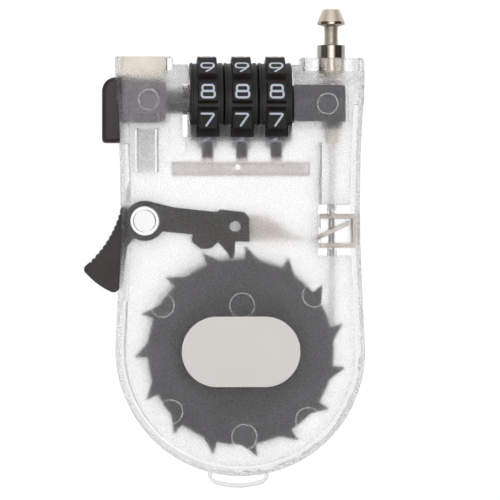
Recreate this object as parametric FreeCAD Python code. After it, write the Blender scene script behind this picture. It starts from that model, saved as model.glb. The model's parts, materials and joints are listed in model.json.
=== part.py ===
import FreeCAD
import Part
import math
import os

# Retractable three-dial cable lock in a clear case, lying on its back.
# X runs across the case, Y from the cable reel up to the dials, Z out of the front face.
# The origin is on the back face, on the reel's axis. All sizes are in millimetres.

# Case
case_t = 13.6
plate = 1.2
side_wall = 1.6
waist_y, flank_y, shoulder_y = 18.0, 31.0, 47.0
barrel_y = 41.7
rim_bevel = 0.7
rib_t = 0.5

# Steps across the case, outward from the windows over the dials
window_to_cable = 6.64
window_to_socket = 7.08
cable_to_tip = 2.31
tooth_depth = 2.17
tip_to_wall = 1.43
cable_to_waist = 4.54
cable_to_shoulder = 5.39
flank_bow = 0.02
pivot_inset = 4.0

# Running, sliding and seating clearances
run_gap = 0.05
slide_gap = 0.1
side_gap = 0.15
seat_gap = 0.03

# How far a cutter reaches past what it cuts, and a length beyond the whole case
over = 1.0
far = 60.0

# Square caps over the bolt's two holes, and the wear sleeves that fill them
cap_round, cap_corner = 0.5, 0.7
socket_cap = {"left": 5.2, "right": 4.5, "top": 49.7, "half": 3.65}
outlet_cap = {"left": 5.26, "right": cable_to_shoulder, "top": 49.5, "half": 3.9}
sleeve_round = 0.8
socket_sleeve = {"left": 4.7, "right": 3.5, "top": socket_cap["top"], "half": 3.1}
outlet_sleeve = {"left": 4.7, "right": 4.6, "top": outlet_cap["top"], "half": 3.4}
socket_bore_r = 2.5

# Number dials
dial_count = 3
dial_pitch = 5.78
dial_gap = 0.16
dial_shift = 0.1
dial_lift = 0.35
dial_tilt_deg = 12.5
ring_r = 7.9
ring_from_left, ring_from_right = 1.2, 0.97
ring_draft = 0.2
pad_low_r = 6.4
rim_r = 6.74
pad_count = 10
pad_deg = 23.0
window_side = 0.23
window_low = 38.1
notch_low = 36.07
notch_side = 0.25

# Spindle, code sleeves and latch
spindle_r = 2.0
lug_r = 3.0
lug_w = 1.2
lug_l = 1.0
lug_gap = 0.12
ledge_w = 0.7
chamber_gap = 0.15
sleeve_r = 4.4
sleeve_key = 0.5
button_travel = 2.0
slider_past_socket = 3.4
slider_y0, slider_y1 = 38.5, 45.7
slider_half = 3.4
keyhole_plate = 0.8
keyhole_neck_r = 1.3
partition_t = 1.05
socket_to_button, button_stand = 4.1, 3.35
button_y0, button_y1 = 35.2, 46.2
button_half = 3.3
button_low_round = 0.7
button_top_round = 2.2
button_edge = 0.6

# End block with the spindle's spring
block_past_cable = 2.04
block_y0, block_y1 = 38.8, 44.9
block_leg = {"wide": 1.71, "low": 37.6, "half": 1.75}
spindle_past_window = 1.68
button_spring_room = 2.7
shank_gap = 0.3
button_wire_r = 0.18
button_spring_turns = 2

# Cable end bolt
bolt_top = 57.9
bolt_top_r = 1.5
bolt_head_r = 2.335
bolt_head_low = 55.3
bolt_band = 0.5
bolt_neck_r = 1.15
collar_r = 2.37
collar_top, collar_low = 51.8, 46.3
shank_r = 1.2
shank_low = 35.2
bolt_round = 0.3

# Cable, drum and ratchet wheel
cable_r = 0.55
lanes_below, lanes_above = 3, 1
coil_gap = 0.09
layer_pitch = 1.2
drum_wall = 0.6
flange_t = 0.6
flange_out = 0.15
post_r = 2.2
thrust_r = 4.0
thrust_h = 0.65
ratchet_t = 1.8
ratchet_front_room = 1.3
teeth = 15
first_tip_deg = 15.3
root_span_deg = 14.8
drum_spring_t = 0.25
drum_spring_pack = 2.6
drum_spring_inner = 2.9
front_boss_r = 3.0
locate_r = 1.0
locate_depth = 2.2

# Release lever
pivot_y = 22.0
pivot_hole_r = 1.86
pivot_boss_r = 2.45
lever_ring_r = 3.4
pivot_dish_r = 3.1
pivot_dish = 0.35
shoulder_r = 2.8
lever_back = 2.8
pad_front = 10.8
arm_back, arm_front = 7.4, 12.1
prong_t = 0.8
slot_low, slot_top = 8.5, 24.7
slot_side = 0.3
slot_behind = 2.0
serrations = 11
serration_side = 0.4
serration_turn_deg = 80.0
tongue_t = 0.8
rivet_from_pivot = (15.13, -0.95)
rivet_head_r = 0.93
rivet_r = 0.6
rivet_head = 0.2
lever_wire_r = 0.22
lever_spring_r = 3.1

# Outlines of the lever and its tongue, from the pivot: a start, then lines (x, y) and arcs (x, y, x, y)
pad_outline = [
    (-3.95, 2.2), (-6.1, -3.05, -9.8, -7.45), (-10.2, -8.2, -9.8, -8.9), (-7.9, -10.66, -5.8, -11.9),
    (-5.0, -12.0, -4.4, -11.55), (-3.85, -11.3), (-2.92, -4.2), (-1.4, -2.8), (-1.4, 2.5),
]
pad_bow = (-5.5, -3.45)
arm_outline = [
    (0.5, 3.35), (4.92, 2.27), (12.12, 1.49), (12.7, 1.96), (15.63, 1.59), (16.95, 1.2, 17.47, 0.32),
    (17.6, -3.5), (12.27, -3.5), (11.48, -4.35), (10.5, -4.7, 9.28, -4.65), (7.8, -3.47),
    (8.04, -2.3), (2.8, -1.81), (2.1, -2.7), (0, 0),
]
prong_outline = [
    (15.1, -3.2), (15.1, -5.23), (14.8, -6.0, 14.36, -6.25), (13.75, -5.23), (12.27, -3.57), (12.27, -3.2),
]
tongue_top = [(13.5, -2.0), (13.5, 0.2), (17.57, 1.07), (20.4, 0.88), (22.79, -0.41)]
tongue_under = [(17.7, -3.34), (14.3, -3.0)]

# The end of the tongue, measured across from the tail of the clamp's blade
tongue_tip = [(-3.01, -2.42), (-1.0, -2.7), (-1.0, -3.3)]

# Cable clamp
clamp_left, clamp_right = 2.0, 3.79
clamp_y0, clamp_y1 = 17.5, 23.15
clamp_half = 2.8
leaf_t = 0.75
web_t = 0.45
blade_t = 0.7
blade_half = 2.6
blade_tail_out, blade_tail_y = 1.66, 18.6
blade_pivot_in, blade_pivot_y = 0.95, 21.66
blade_hole_r = 0.95
leaf_hole_r = 0.9

# Clear ribs and floors round the cable and the ejector
guide_to_cable = 2.46
guide_floor_y1 = 24.8
guide_top = 35.2
box_wall_t = 0.4
box_floor_t = 1.3
cable_hole_r = 0.8
tail_slot_low, tail_slot_top = 18.3, 20.9
shelf_t, shelf_len, shelf_inset, shelf_h = 1.0, 3.0, 0.4, 1.8
pocket_inner = 1.4
pocket_low = 30.7
pocket_top = 37.6
pocket_wall = 0.55
plunger_head_r = 1.3
plunger_head_y0, plunger_head_y1 = 37.3, 38.3
plunger_rod_r = 0.4
plunger_travel = 3.0
eject_wire_r = 0.15
eject_spring_r = 0.75
eject_turns = 4.5

# Clear bars in front of the latch slider
side_bar_w, side_bar_low, side_bar_top = 2.6, 33.4, 41.76
pocket_bar_top = 39.9

# Detent leaf spring
leaf_past_window = 2.68
leaf_y0, leaf_y1 = 29.5, 32.0
leaf_strip_t = 0.3
leaf_deep = 2.45
finger_w = 2.0
finger_top = 34.9
leaf_pin = {"x": -0.47, "y": 31.06, "r": 0.45, "above": 1.0}
leaf_bed_side = 0.4

# Name plate and strap loop
plate_len, plate_wid = 20.0, 11.9
recess_side = 0.18
recess_depth = 0.5
label_t = 0.4
loop_half = 5.15
loop_low = 23.35
loop_bar = 0.62
loop_floor = 0.9
loop_back, loop_depth = 0.8, 2.4
loop_round = 1.2

# Places that follow from the sizes above
mid = case_t / 2
front_in = case_t - plate
barrel_r = case_t / 2
cavity_r = barrel_r - plate
dial_y = barrel_y + dial_lift
dial_w = dial_pitch - dial_gap
ring_w = dial_w - ring_from_left - ring_from_right
windows_half = dial_count * dial_pitch / 2 - dial_gap / 2 + window_side
window_x0, window_x1 = dial_shift - windows_half, dial_shift + windows_half
cable_x = window_x1 + window_to_cable
socket_x = window_x0 - window_to_socket
tip_r = cable_x + cable_to_tip
root_r = tip_r - tooth_depth
belly_r = tip_r + tip_to_wall + side_wall
waist_half = cable_x + cable_to_waist
flank_half = waist_half + flank_bow
shoulder_half = cable_x + cable_to_shoulder
slider_x1 = socket_x + slider_past_socket
slider_front = mid + slider_half
button_x1 = socket_x - socket_to_button
button_x0 = button_x1 - button_stand
block_x0, block_x1 = window_x1 + seat_gap, cable_x + block_past_cable
spindle_x1 = window_x1 + spindle_past_window
block_bore_end = spindle_x1 + button_spring_room
drum_back = plate + thrust_h + run_gap
lane_pitch = (mid - cable_r - coil_gap - flange_t - drum_back) / lanes_below
ratchet_front = front_in - ratchet_front_room
ratchet_back = ratchet_front - ratchet_t
lower_layer_r = cable_x - layer_pitch
drum_out_r = lower_layer_r - cable_r - seat_gap
drum_in_r = drum_out_r - drum_wall
pivot_x = pivot_inset - waist_half
rivet_x, rivet_y = pivot_x + rivet_from_pivot[0], pivot_y + rivet_from_pivot[1]
clamp_x0, clamp_x1 = cable_x - clamp_left, cable_x + clamp_right
blade_tail_x, blade_pivot_x = clamp_x0 - blade_tail_out, clamp_x1 - blade_pivot_in
guide_x0 = cable_x - guide_to_cable
leaf_x = window_x1 + leaf_past_window
leaf_front = case_t - leaf_deep
leaf_back = leaf_front - leaf_strip_t


def vec(x, y, z):
    return FreeCAD.Vector(x, y, z)


def box(x0, x1, y0, y1, z0, z1):
    return Part.makeBox(x1 - x0, y1 - y0, z1 - z0, vec(x0, y0, z0))


def rod_x(radius, x0, x1, y, z):
    return Part.makeCylinder(radius, x1 - x0, vec(x0, y, z), vec(1, 0, 0))


def rod_y(radius, x, y0, y1, z):
    return Part.makeCylinder(radius, y1 - y0, vec(x, y0, z), vec(0, 1, 0))


def rod_z(radius, x, y, z0, z1):
    return Part.makeCylinder(radius, z1 - z0, vec(x, y, z0), vec(0, 0, 1))


def fuse(shapes):
    whole = shapes[0].multiFuse(shapes[1:]) if len(shapes) > 1 else shapes[0]
    return whole.removeSplitter()


def outline_face(start, steps, z=0.0):
    """A flat face whose edge starts at a point and goes on by lines (x, y) and arcs (x, y, x, y)."""
    edges = []
    here = vec(start[0], start[1], z)
    for step in steps:
        there = vec(step[-2], step[-1], z)
        if len(step) == 4:
            edges.append(Part.Arc(here, vec(step[0], step[1], z), there).toShape())
        else:
            edges.append(Part.LineSegment(here, there).toShape())
        here = there
    first = vec(start[0], start[1], z)
    if here.distanceToPoint(first) > 1e-6:
        edges.append(Part.LineSegment(here, first).toShape())
    return Part.Face(Part.Wire(edges))


def slab(start, steps, z0, z1):
    return outline_face(start, steps, z0).extrude(vec(0, 0, z1 - z0))


def stadium(x0, x1, y, radius, z0, z1):
    """A slot shape along X between two round ends centred at x0 and x1."""
    steps = [
        (x1, y - radius),
        (x1 + radius, y, x1, y + radius),
        (x0, y + radius),
        (x0 - radius, y, x0, y - radius),
    ]
    return slab((x0, y - radius), steps, z0, z1)


def turned_y(x, z, points):
    """A solid turned about the line through (x, z) along Y, from (radius, y) points."""
    corners = [vec(x + radius, y, z) for radius, y in points]
    face = Part.Face(Part.makePolygon(corners + corners[:1]))
    return face.revolve(vec(x, 0, z), vec(0, 1, 0), 360)


def coil(radius, wire_r, turns, length, base, axis):
    """An open helical spring from base along axis, in square wire of a round wire's section area."""
    helix = Part.makeHelix(length / turns, length, radius)
    half = wire_r * math.sqrt(math.pi) / 2
    corners = [vec(radius + a * half, 0, b * half) for a, b in ((1, 1), (-1, 1), (-1, -1), (1, -1))]
    section = Part.makePolygon(corners + corners[:1])
    solid = Part.Wire(helix.Edges).makePipeShell([section], True, True)
    solid.Placement = FreeCAD.Placement(base, FreeCAD.Rotation(vec(0, 0, 1), axis))
    return solid


def case_prism(inset, z0, z1):
    """The case's front outline, drawn in by inset, as a slab."""
    radius = belly_r - inset
    waist = waist_half - inset
    reach = math.hypot(waist, waist_y)
    lean = math.atan2(waist_y, waist) - math.acos(radius / reach)
    side = radius * math.cos(lean)
    rise = radius * math.sin(lean)
    flank = flank_half - inset
    shoulder = shoulder_half - inset
    steps = [
        (0, -radius, side, rise),
        (waist, waist_y),
        (flank, flank_y, shoulder, shoulder_y),
        (shoulder, far),
        (-shoulder, far),
        (-shoulder, shoulder_y),
        (-flank, flank_y, -waist, waist_y),
        (-side, rise),
    ]
    return slab((-side, rise), steps, z0, z1)


def barrel_form(z0, z1):
    """The case seen from the side: flat plates with a round top."""
    radius = (z1 - z0) / 2
    centre = (z0 + z1) / 2
    low = -belly_r - far
    edges = [
        Part.LineSegment(vec(-far, low, z0), vec(-far, barrel_y, z0)).toShape(),
        Part.Arc(
            vec(-far, barrel_y, z0), vec(-far, barrel_y + radius, centre), vec(-far, barrel_y, z1)
        ).toShape(),
        Part.LineSegment(vec(-far, barrel_y, z1), vec(-far, low, z1)).toShape(),
        Part.LineSegment(vec(-far, low, z1), vec(-far, low, z0)).toShape(),
    ]
    return Part.Face(Part.Wire(edges)).extrude(vec(2 * far, 0, 0))


def case_outside():
    block = case_prism(0, 0, case_t)
    rims = [
        edge for edge in block.Edges
        if edge.BoundBox.ZLength < 1e-6 and edge.BoundBox.YMin < far - over
    ]
    return block.makeChamfer(rim_bevel, rims).common(barrel_form(0, case_t))


def case_cavity():
    return case_prism(side_wall, plate, front_in).common(barrel_form(plate, front_in))


def upright_block(x, size, corner, room=0.0):
    """A block round the hole at x, with its upright edges rounded, grown by room on every side."""
    block = box(
        x - size["left"] - room, x + size["right"] + room, barrel_y, size["top"] + room,
        mid - size["half"] - room, mid + size["half"] + room,
    )
    uprights = [edge for edge in block.Edges if edge.BoundBox.YLength > corner]
    return block.makeFillet(corner, uprights)


def cap(x, size):
    """One of the two square caps on the barrel, with its top rounded down at the right."""
    block = upright_block(x, size, cap_round)
    right = x + size["right"]
    above = box(right - cap_corner, right + over, size["top"] - cap_corner, far, -over, case_t + over)
    roll = rod_z(cap_corner, right - cap_corner, size["top"] - cap_corner, -over, case_t + over)
    return block.cut(above.cut(roll))


def dial_centre(number):
    return dial_shift + (number - (dial_count - 1) / 2) * dial_pitch


def clear_ribs():
    """Ribs and floors that both shells share, up to the plates."""
    right = clamp_x1 + side_wall
    box_left = clamp_x0 - side_gap - box_wall_t
    lower_floor = clamp_y0 - side_gap / 2
    tail_slot = box(
        box_left - over, box_left + box_wall_t + side_gap, tail_slot_low, tail_slot_top,
        mid - blade_half - side_gap, mid + blade_half + side_gap,
    )
    box_side = box(box_left, box_left + box_wall_t, lower_floor, guide_floor_y1, plate, front_in)
    ribs = [
        box(guide_x0, guide_x0 + rib_t, guide_floor_y1 - rib_t, guide_top, plate, front_in),
        box(box_left, right, clamp_y1 + side_gap / 2, guide_floor_y1, plate, front_in),
        box_side.cut(tail_slot),
        box(box_left, right, lower_floor - box_floor_t, lower_floor, plate, front_in),
        box(window_x0 - partition_t, window_x0, notch_low, far, plate, front_in),
    ]
    near, wide = pocket_inner, pocket_inner + pocket_wall
    pocket = box(
        socket_x - wide, socket_x + wide, pocket_low - pocket_wall, pocket_top, mid - wide, mid + wide
    )
    hollow = box(socket_x - near, socket_x + near, pocket_low, pocket_top, mid - near, mid + near)
    webs = [
        box(x0, x0 + pocket_wall, pocket_low - pocket_wall, pocket_top, plate, front_in)
        for x0 in (socket_x - wide, socket_x + near)
    ]
    bar_back = slider_front + side_gap
    bar_right = window_x0 - partition_t / 2
    bars = [
        box(bar_right - side_bar_w, bar_right, side_bar_low, side_bar_top, bar_back, front_in),
        box(socket_x - wide, socket_x + wide, pocket_top - pocket_wall, pocket_bar_top, bar_back, front_in),
    ]
    return ribs + bars + [fuse([pocket] + webs).cut(hollow)]


def wall_openings():
    """The slots in the left wall for the lever and the button, and the room round the lever's ring."""
    inside = pivot_x - slot_behind
    return [
        rod_z(lever_ring_r + side_gap, pivot_x, pivot_y, plate, front_in),
        box(-far, inside, slot_low, slot_top, lever_back - slot_side, pad_front + slot_side),
        box(-far, button_x1 + side_wall, button_y0 - side_gap, button_y1 + side_gap,
            mid - button_half - side_gap, mid + button_half + side_gap),
    ]


def shell_holes():
    """Everything that is cut out of the case after its ribs are in."""
    holes = [
        box(window_x0, window_x1, window_low, far, -over, case_t + over),
        rod_z(pivot_hole_r, pivot_x, pivot_y, -over, case_t + over),
        rod_z(pivot_dish_r, pivot_x, pivot_y, case_t - pivot_dish, case_t + over),
        rod_x(spindle_r + slide_gap, window_x0 - partition_t - over, window_x0 + over, dial_y, mid),
        rod_y(cable_hole_r, cable_x, clamp_y0 - box_floor_t - over, guide_top, mid),
        upright_block(socket_x, socket_sleeve, sleeve_round, seat_gap),
        upright_block(cable_x, outlet_sleeve, sleeve_round, seat_gap),
        box(clamp_x0, clamp_x1 + run_gap, clamp_y0 - run_gap, clamp_y1 + run_gap,
            mid - clamp_half - run_gap, mid + clamp_half + run_gap),
        stadium(
            -(plate_len - plate_wid) / 2, (plate_len - plate_wid) / 2, 0,
            plate_wid / 2 + recess_side, case_t - recess_depth, case_t + over,
        ),
    ]
    for number in range(dial_count):
        left = dial_centre(number) - dial_w / 2 + ring_from_left - notch_side
        holes.append(
            box(left, left + ring_w + 2 * notch_side, notch_low, window_low + over, -over, case_t + over)
        )
    return holes


def strap_loop():
    """The moulded loop under the belly, on the rear half."""
    low, high = -loop_low, -belly_r + side_wall
    outer = slab(
        (-loop_half, high),
        [
            (-loop_half, low + 2 * loop_round),
            (-loop_half + loop_round / 3, low + loop_round, -loop_half + loop_round, low + loop_round / 2),
            (0, low, loop_half - loop_round, low + loop_round / 2),
            (loop_half - loop_round / 3, low + loop_round, loop_half, low + 2 * loop_round),
            (loop_half, high),
        ],
        loop_back, loop_back + loop_depth,
    )
    inner_half, inner_low = loop_half - loop_bar, low + loop_floor
    inner = slab(
        (-inner_half, high),
        [
            (-inner_half, inner_low + loop_round / 2),
            (0, inner_low - loop_round / 4, inner_half, inner_low + loop_round / 2),
            (inner_half, high),
        ],
        loop_back - over, loop_back + loop_depth + over,
    )
    return outer.cut(inner).cut(rod_z(belly_r - side_wall / 2, 0, 0, -over, case_t + over))


def make_shells():
    """Both halves of the case, split at mid height."""
    outside = fuse([case_outside(), cap(socket_x, socket_cap), cap(cable_x, outlet_cap)])
    body = outside.cut([case_cavity()] + wall_openings())
    bosses = [
        rod_z(pivot_boss_r, pivot_x, pivot_y, plate / 2, case_t - plate / 2),
        rod_z(shoulder_r, pivot_x, pivot_y, plate / 2, lever_back - slide_gap),
        rod_z(shoulder_r, pivot_x, pivot_y, arm_front + slide_gap, case_t - plate / 2),
    ]
    core = outside.common(case_prism(side_wall / 2, plate / 2, case_t - plate / 2))
    ribs = fuse(clear_ribs()).common(core)
    whole = fuse([body, ribs] + bosses)
    whole = whole.cut(shell_holes())
    front = whole.common(box(-far, far, -far, far, mid, case_t + over))
    rear = whole.common(box(-far, far, -far, far, -over, mid))
    shelf = [
        box(block_x0 + shelf_inset, block_x0 + shelf_inset + shelf_len,
            block_y0 - shelf_t, block_y0 - run_gap, plate / 2, plate + shelf_h),
        box(block_x1 + run_gap, block_x1 + rib_t,
            block_y0, block_y1 - shelf_t, plate / 2, plate + shelf_h),
    ]
    shelf_front = [part.mirror(vec(0, 0, mid), vec(0, 0, 1)) for part in shelf]
    post_top = ratchet_front - slide_gap
    post = rod_z(post_r, 0, 0, plate / 2, post_top)
    post = post.cut(rod_z(locate_r + run_gap, 0, 0, post_top - locate_depth, post_top + over))
    rear_adds = shelf + [
        post,
        rod_z(thrust_r, 0, 0, plate / 2, plate + thrust_h),
        strap_loop(),
    ]
    front_adds = shelf_front + [
        box(-leaf_x, leaf_x, leaf_y0 + leaf_bed_side, leaf_y1 - leaf_bed_side,
            leaf_front + run_gap, case_t - plate / 2),
        rod_z(leaf_pin["r"], leaf_pin["x"], leaf_pin["y"], leaf_back - leaf_pin["above"],
              case_t - plate / 2),
        rod_z(front_boss_r, 0, 0, ratchet_front + slide_gap, front_in + recess_depth / 4),
        rod_z(locate_r, 0, 0, post_top - locate_depth + slide_gap, front_in),
    ]
    return {"front_shell": fuse([front] + front_adds), "rear_shell": fuse([rear] + rear_adds)}


def make_ferrules():
    """Wear sleeves in the two caps, cut to the round cavity at their lower ends."""
    room = rod_x(cavity_r, -far, far, barrel_y, mid)
    socket = upright_block(socket_x, socket_sleeve, sleeve_round)
    socket = socket.cut(rod_y(socket_bore_r, socket_x, barrel_y - over, far, mid)).cut(room)
    outlet = upright_block(cable_x, outlet_sleeve, sleeve_round)
    outlet = outlet.cut(rod_y(collar_r + slide_gap, cable_x, collar_low - run_gap, far, mid))
    outlet = outlet.cut(rod_y(shank_r + shank_gap, cable_x, barrel_y - over, far, mid)).cut(room)
    return {"socket_ferrule": socket, "outlet_ferrule": outlet}


def number_pad():
    """One flat number pad at the front of the ring, with drafted sides, from x = 0."""
    top_r = ring_r * math.cos(math.radians(pad_deg / 2))
    rings = []
    for draft, radius, half in (
        (0, pad_low_r, ring_r * math.sin(math.radians(pad_deg / 2)) + ring_draft),
        (ring_draft, top_r, ring_r * math.sin(math.radians(pad_deg / 2))),
    ):
        x0, x1 = draft, ring_w - draft
        ends = ((x0, -half), (x1, -half), (x1, half), (x0, half))
        corners = [vec(x, y, radius) for x, y in ends]
        rings.append(Part.makePolygon(corners + corners[:1]))
    return Part.makeLoft(rings, True, True)


def number_ring():
    """The ring of flat number pads with grooves between them, from x = 0."""
    pieces = [rod_x(rim_r, 0, ring_w, 0, 0)]
    for number in range(pad_count):
        pad = number_pad()
        pad.rotate(vec(0, 0, 0), vec(1, 0, 0), 360.0 * number / pad_count)
        pieces.append(pad)
    return fuse(pieces)


def sleeve_key_bar(room, x0, x1):
    """The key on a code sleeve, or with room around it the groove for it."""
    return box(
        x0, x1, -lug_w / 2 - room, lug_w / 2 + room, sleeve_r - sleeve_key, sleeve_r + sleeve_key + room
    )


def make_dial():
    """One dial about the X axis, with its left face at x = 0."""
    ring = number_ring()
    ring.translate(vec(ring_from_left, 0, 0))
    dial = fuse([ring, rod_x(rim_r, 0, dial_w, 0, 0)])
    bore = rod_x(sleeve_r + seat_gap, -over, dial_w + over, 0, 0)
    dial = dial.cut([bore, sleeve_key_bar(seat_gap, -over, dial_w + over)])
    dial.rotate(vec(0, 0, 0), vec(1, 0, 0), -dial_tilt_deg)
    return dial


def make_sleeve():
    """One code sleeve: an inner ledge with a gate for the spindle's lug, open at both ends."""
    left, right = seat_gap, dial_w - seat_gap
    centre = dial_w / 2
    sleeve = fuse([rod_x(sleeve_r, left, right, 0, 0), sleeve_key_bar(0, left, right)])
    ledge = rod_x(sleeve_r, centre - ledge_w / 2, centre + ledge_w / 2, 0, 0)
    sleeve = fuse([sleeve.cut(rod_x(lug_r + chamber_gap, -over, dial_w + over, 0, 0)), ledge])
    sleeve = sleeve.cut(rod_x(spindle_r + run_gap, -over, dial_w + over, 0, 0))
    sleeve.rotate(vec(0, 0, 0), vec(1, 0, 0), -dial_tilt_deg)
    gate = box(
        centre - ledge_w, centre + ledge_w, -lug_w / 2 - chamber_gap, lug_w / 2 + chamber_gap,
        0, lug_r + chamber_gap,
    )
    return sleeve.cut(gate)


def make_dials():
    parts = {}
    for number in range(dial_count):
        place = vec(dial_centre(number) - dial_w / 2, dial_y, mid)
        dial, sleeve = make_dial(), make_sleeve()
        dial.translate(place)
        sleeve.translate(place)
        parts[f"dial_{number + 1}"] = dial
        parts[f"code_sleeve_{number + 1}"] = sleeve
    return parts


def make_spindle():
    """The shaft through the dials, with one lug for each code sleeve."""
    pieces = [rod_x(spindle_r, slider_x1, spindle_x1, dial_y, mid)]
    for number in range(dial_count):
        lug_x1 = dial_centre(number) - ledge_w / 2 - lug_gap
        lug = box(lug_x1 - lug_l, lug_x1, dial_y - lug_w / 2, dial_y + lug_w / 2, mid, mid + lug_r)
        pieces.append(lug.common(rod_x(lug_r, -far, far, dial_y, mid)))
    return fuse(pieces)


def head_room(y0, y1):
    """The space that the bolt head needs in the slider, over the button's travel."""
    room = stadium(socket_x - button_travel, socket_x, 0, socket_bore_r, 0, y1 - y0)
    room.rotate(vec(0, 0, 0), vec(1, 0, 0), -90)
    room.translate(vec(0, y0, mid))
    return room


def make_slider():
    """The latch slider, whose keyhole catches the bolt's neck."""
    plate_low = slider_y1 - keyhole_plate
    block = box(button_x1, slider_x1, slider_y0, slider_y1, mid - slider_half, mid + slider_half)
    long_edges = [edge for edge in block.Edges if edge.BoundBox.XLength > button_edge]
    block = block.makeChamfer(button_edge, long_edges)
    block = block.cut(head_room(slider_y0 - over, plate_low))
    mouth = rod_y(socket_bore_r, socket_x - button_travel, plate_low - over, far, mid)
    neck = box(
        socket_x - button_travel, socket_x, plate_low - over, far,
        mid - keyhole_neck_r, mid + keyhole_neck_r,
    )
    neck_end = rod_y(keyhole_neck_r, socket_x, plate_low - over, far, mid)
    return block.cut([mouth, neck, neck_end])


def make_button():
    """The release button on the left side, with a hollow for the bolt head inside."""
    low, top = button_low_round, button_top_round
    corner = 1 - math.sqrt(0.5)
    steps = [
        (button_x1, button_y1),
        (button_x0 + top, button_y1),
        (button_x0 + corner * top, button_y1 - corner * top, button_x0, button_y1 - top),
        (button_x0, button_y0 + low),
        (button_x0 + corner * low, button_y0 + corner * low, button_x0 + low, button_y0),
        (button_x1, button_y0),
    ]
    button = slab((button_x1, button_y0), steps, mid - button_half, mid + button_half)
    ends = [
        edge for edge in button.Edges
        if edge.BoundBox.ZLength < 1e-6 and edge.BoundBox.XMin < button_x1 - run_gap
    ]
    return button.makeChamfer(button_edge, ends).cut(head_room(slider_y0, slider_y1))


def make_end_block():
    """The block that holds the spindle's free end, its spring and the bolt's shank."""
    solid = box(block_x0, block_x1, block_y0, block_y1, 0, case_t)
    solid = solid.common(barrel_form(plate + run_gap, front_in - run_gap))
    leg = box(
        cable_x - block_leg["wide"], cable_x + block_leg["wide"], block_leg["low"], block_y0 + over,
        mid - block_leg["half"], mid + block_leg["half"],
    )
    solid = fuse([solid, leg])
    return solid.cut([
        rod_x(spindle_r + run_gap, block_x0 - over, block_bore_end, dial_y, mid),
        rod_y(shank_r + shank_gap, cable_x, block_leg["low"] - over, block_y1 + over, mid),
    ])


def make_bolt():
    """The turned cable end: a flared head, a neck, a collar and a shank."""
    band_top = bolt_head_low + bolt_band
    points = [
        (0, bolt_top), (bolt_top_r - bolt_round, bolt_top), (bolt_top_r, bolt_top - bolt_round),
        (bolt_head_r - bolt_round / 3, band_top), (bolt_head_r, band_top - bolt_round / 2),
        (bolt_head_r, bolt_head_low), (bolt_neck_r, bolt_head_low - bolt_round),
        (bolt_neck_r, collar_top), (collar_r - bolt_round / 2, collar_top),
        (collar_r, collar_top - bolt_round / 2), (collar_r, collar_low), (shank_r, collar_low),
        (shank_r, shank_low), (0, shank_low),
    ]
    return turned_y(cable_x, mid, points)


def make_coil():
    """The wound cable as one solid, with the lane of the straight run one layer lower."""
    inner, outer = drum_out_r + seat_gap, cable_x + cable_r
    low = mid - lanes_below * lane_pitch - cable_r
    high = mid + lanes_above * lane_pitch + cable_r
    groove_r = lower_layer_r + cable_r
    below, above = mid - lane_pitch + cable_r, mid + lane_pitch - cable_r
    section = [
        (inner, low), (outer, low), (outer, below), (groove_r, below),
        (groove_r, above), (outer, above), (outer, high), (inner, high),
    ]
    corners = [vec(radius, 0, z) for radius, z in section]
    return Part.Face(Part.makePolygon(corners + corners[:1])).revolve(vec(0, 0, 0), vec(0, 0, 1), 360)


def make_drum():
    """The cable drum: a rear flange and a thin wall round the drive spring."""
    flange_r = cable_x + cable_r + flange_out
    drum = fuse([
        rod_z(flange_r, 0, 0, drum_back, drum_back + flange_t),
        rod_z(drum_out_r, 0, 0, drum_back, ratchet_back).cut(
            rod_z(drum_in_r, 0, 0, drum_back + flange_t, ratchet_back + over)
        ),
    ])
    return drum.cut(rod_z(post_r + run_gap, 0, 0, drum_back - over, ratchet_back))


def make_ratchet():
    """The ratchet wheel that closes the drum at the front, with its locating rim."""
    step = 360.0 / teeth

    def at(radius, degrees):
        angle = math.radians(degrees)
        return radius * math.cos(angle), radius * math.sin(angle)

    steps = []
    for number in range(teeth):
        tip = first_tip_deg + number * step
        steps.append(at(root_r, tip))
        steps.append(at(root_r, tip + root_span_deg / 2) + at(root_r, tip + root_span_deg))
        steps.append(at(tip_r, tip + step))
    wheel = slab(at(tip_r, first_tip_deg), steps, ratchet_back, ratchet_front)
    rim = rod_z(drum_in_r - seat_gap, 0, 0, ratchet_back - drum_wall, ratchet_back)
    rim = rim.cut(rod_z(drum_in_r - seat_gap - drum_wall, 0, 0, 0, case_t))
    return fuse([wheel, rim]).cut(rod_z(post_r + run_gap, 0, 0, 0, case_t))


def make_drive_spring():
    """The flat drive spring: its turns packed against the drum's wall, and one leaf in to the post."""
    low = drum_back + flange_t + slide_gap
    high = ratchet_back - drum_wall - slide_gap
    outer_r = drum_in_r - seat_gap
    pack = rod_z(outer_r, 0, 0, low, high).cut(rod_z(outer_r - drum_spring_pack, 0, 0, 0, case_t))
    inner_x = drum_spring_inner
    outer_x = outer_r - drum_spring_pack
    middle_x = -(inner_x + outer_x) / 2
    edges = []
    for grow in (0, drum_spring_t):
        a, b, c = inner_x + grow, middle_x - grow, outer_x + grow
        up = Part.Arc(vec(a, 0, low), vec((a + b) / 2, (a - b) / 2, low), vec(b, 0, low))
        down = Part.Arc(vec(b, 0, low), vec((b + c) / 2, (b - c) / 2, low), vec(c, 0, low))
        edges += [up.toShape(), down.toShape()]
    edges.append(Part.LineSegment(vec(inner_x, 0, low), vec(inner_x + drum_spring_t, 0, low)).toShape())
    edges.append(Part.LineSegment(vec(outer_x, 0, low), vec(outer_x + drum_spring_t, 0, low)).toShape())
    leaf = Part.Face(Part.Wire(Part.sortEdges(edges)[0])).extrude(vec(0, 0, high - low))
    return fuse([pack, leaf])


def lever_slab(outline, z0, z1):
    """A slab whose outline is given from the lever's pivot."""
    placed = []
    for point in outline:
        places = zip(point, (pivot_x, pivot_y) * (len(point) // 2))
        placed.append(tuple(value + base for value, base in places))
    return slab(placed[0], placed[1:], z0, z1)


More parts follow.
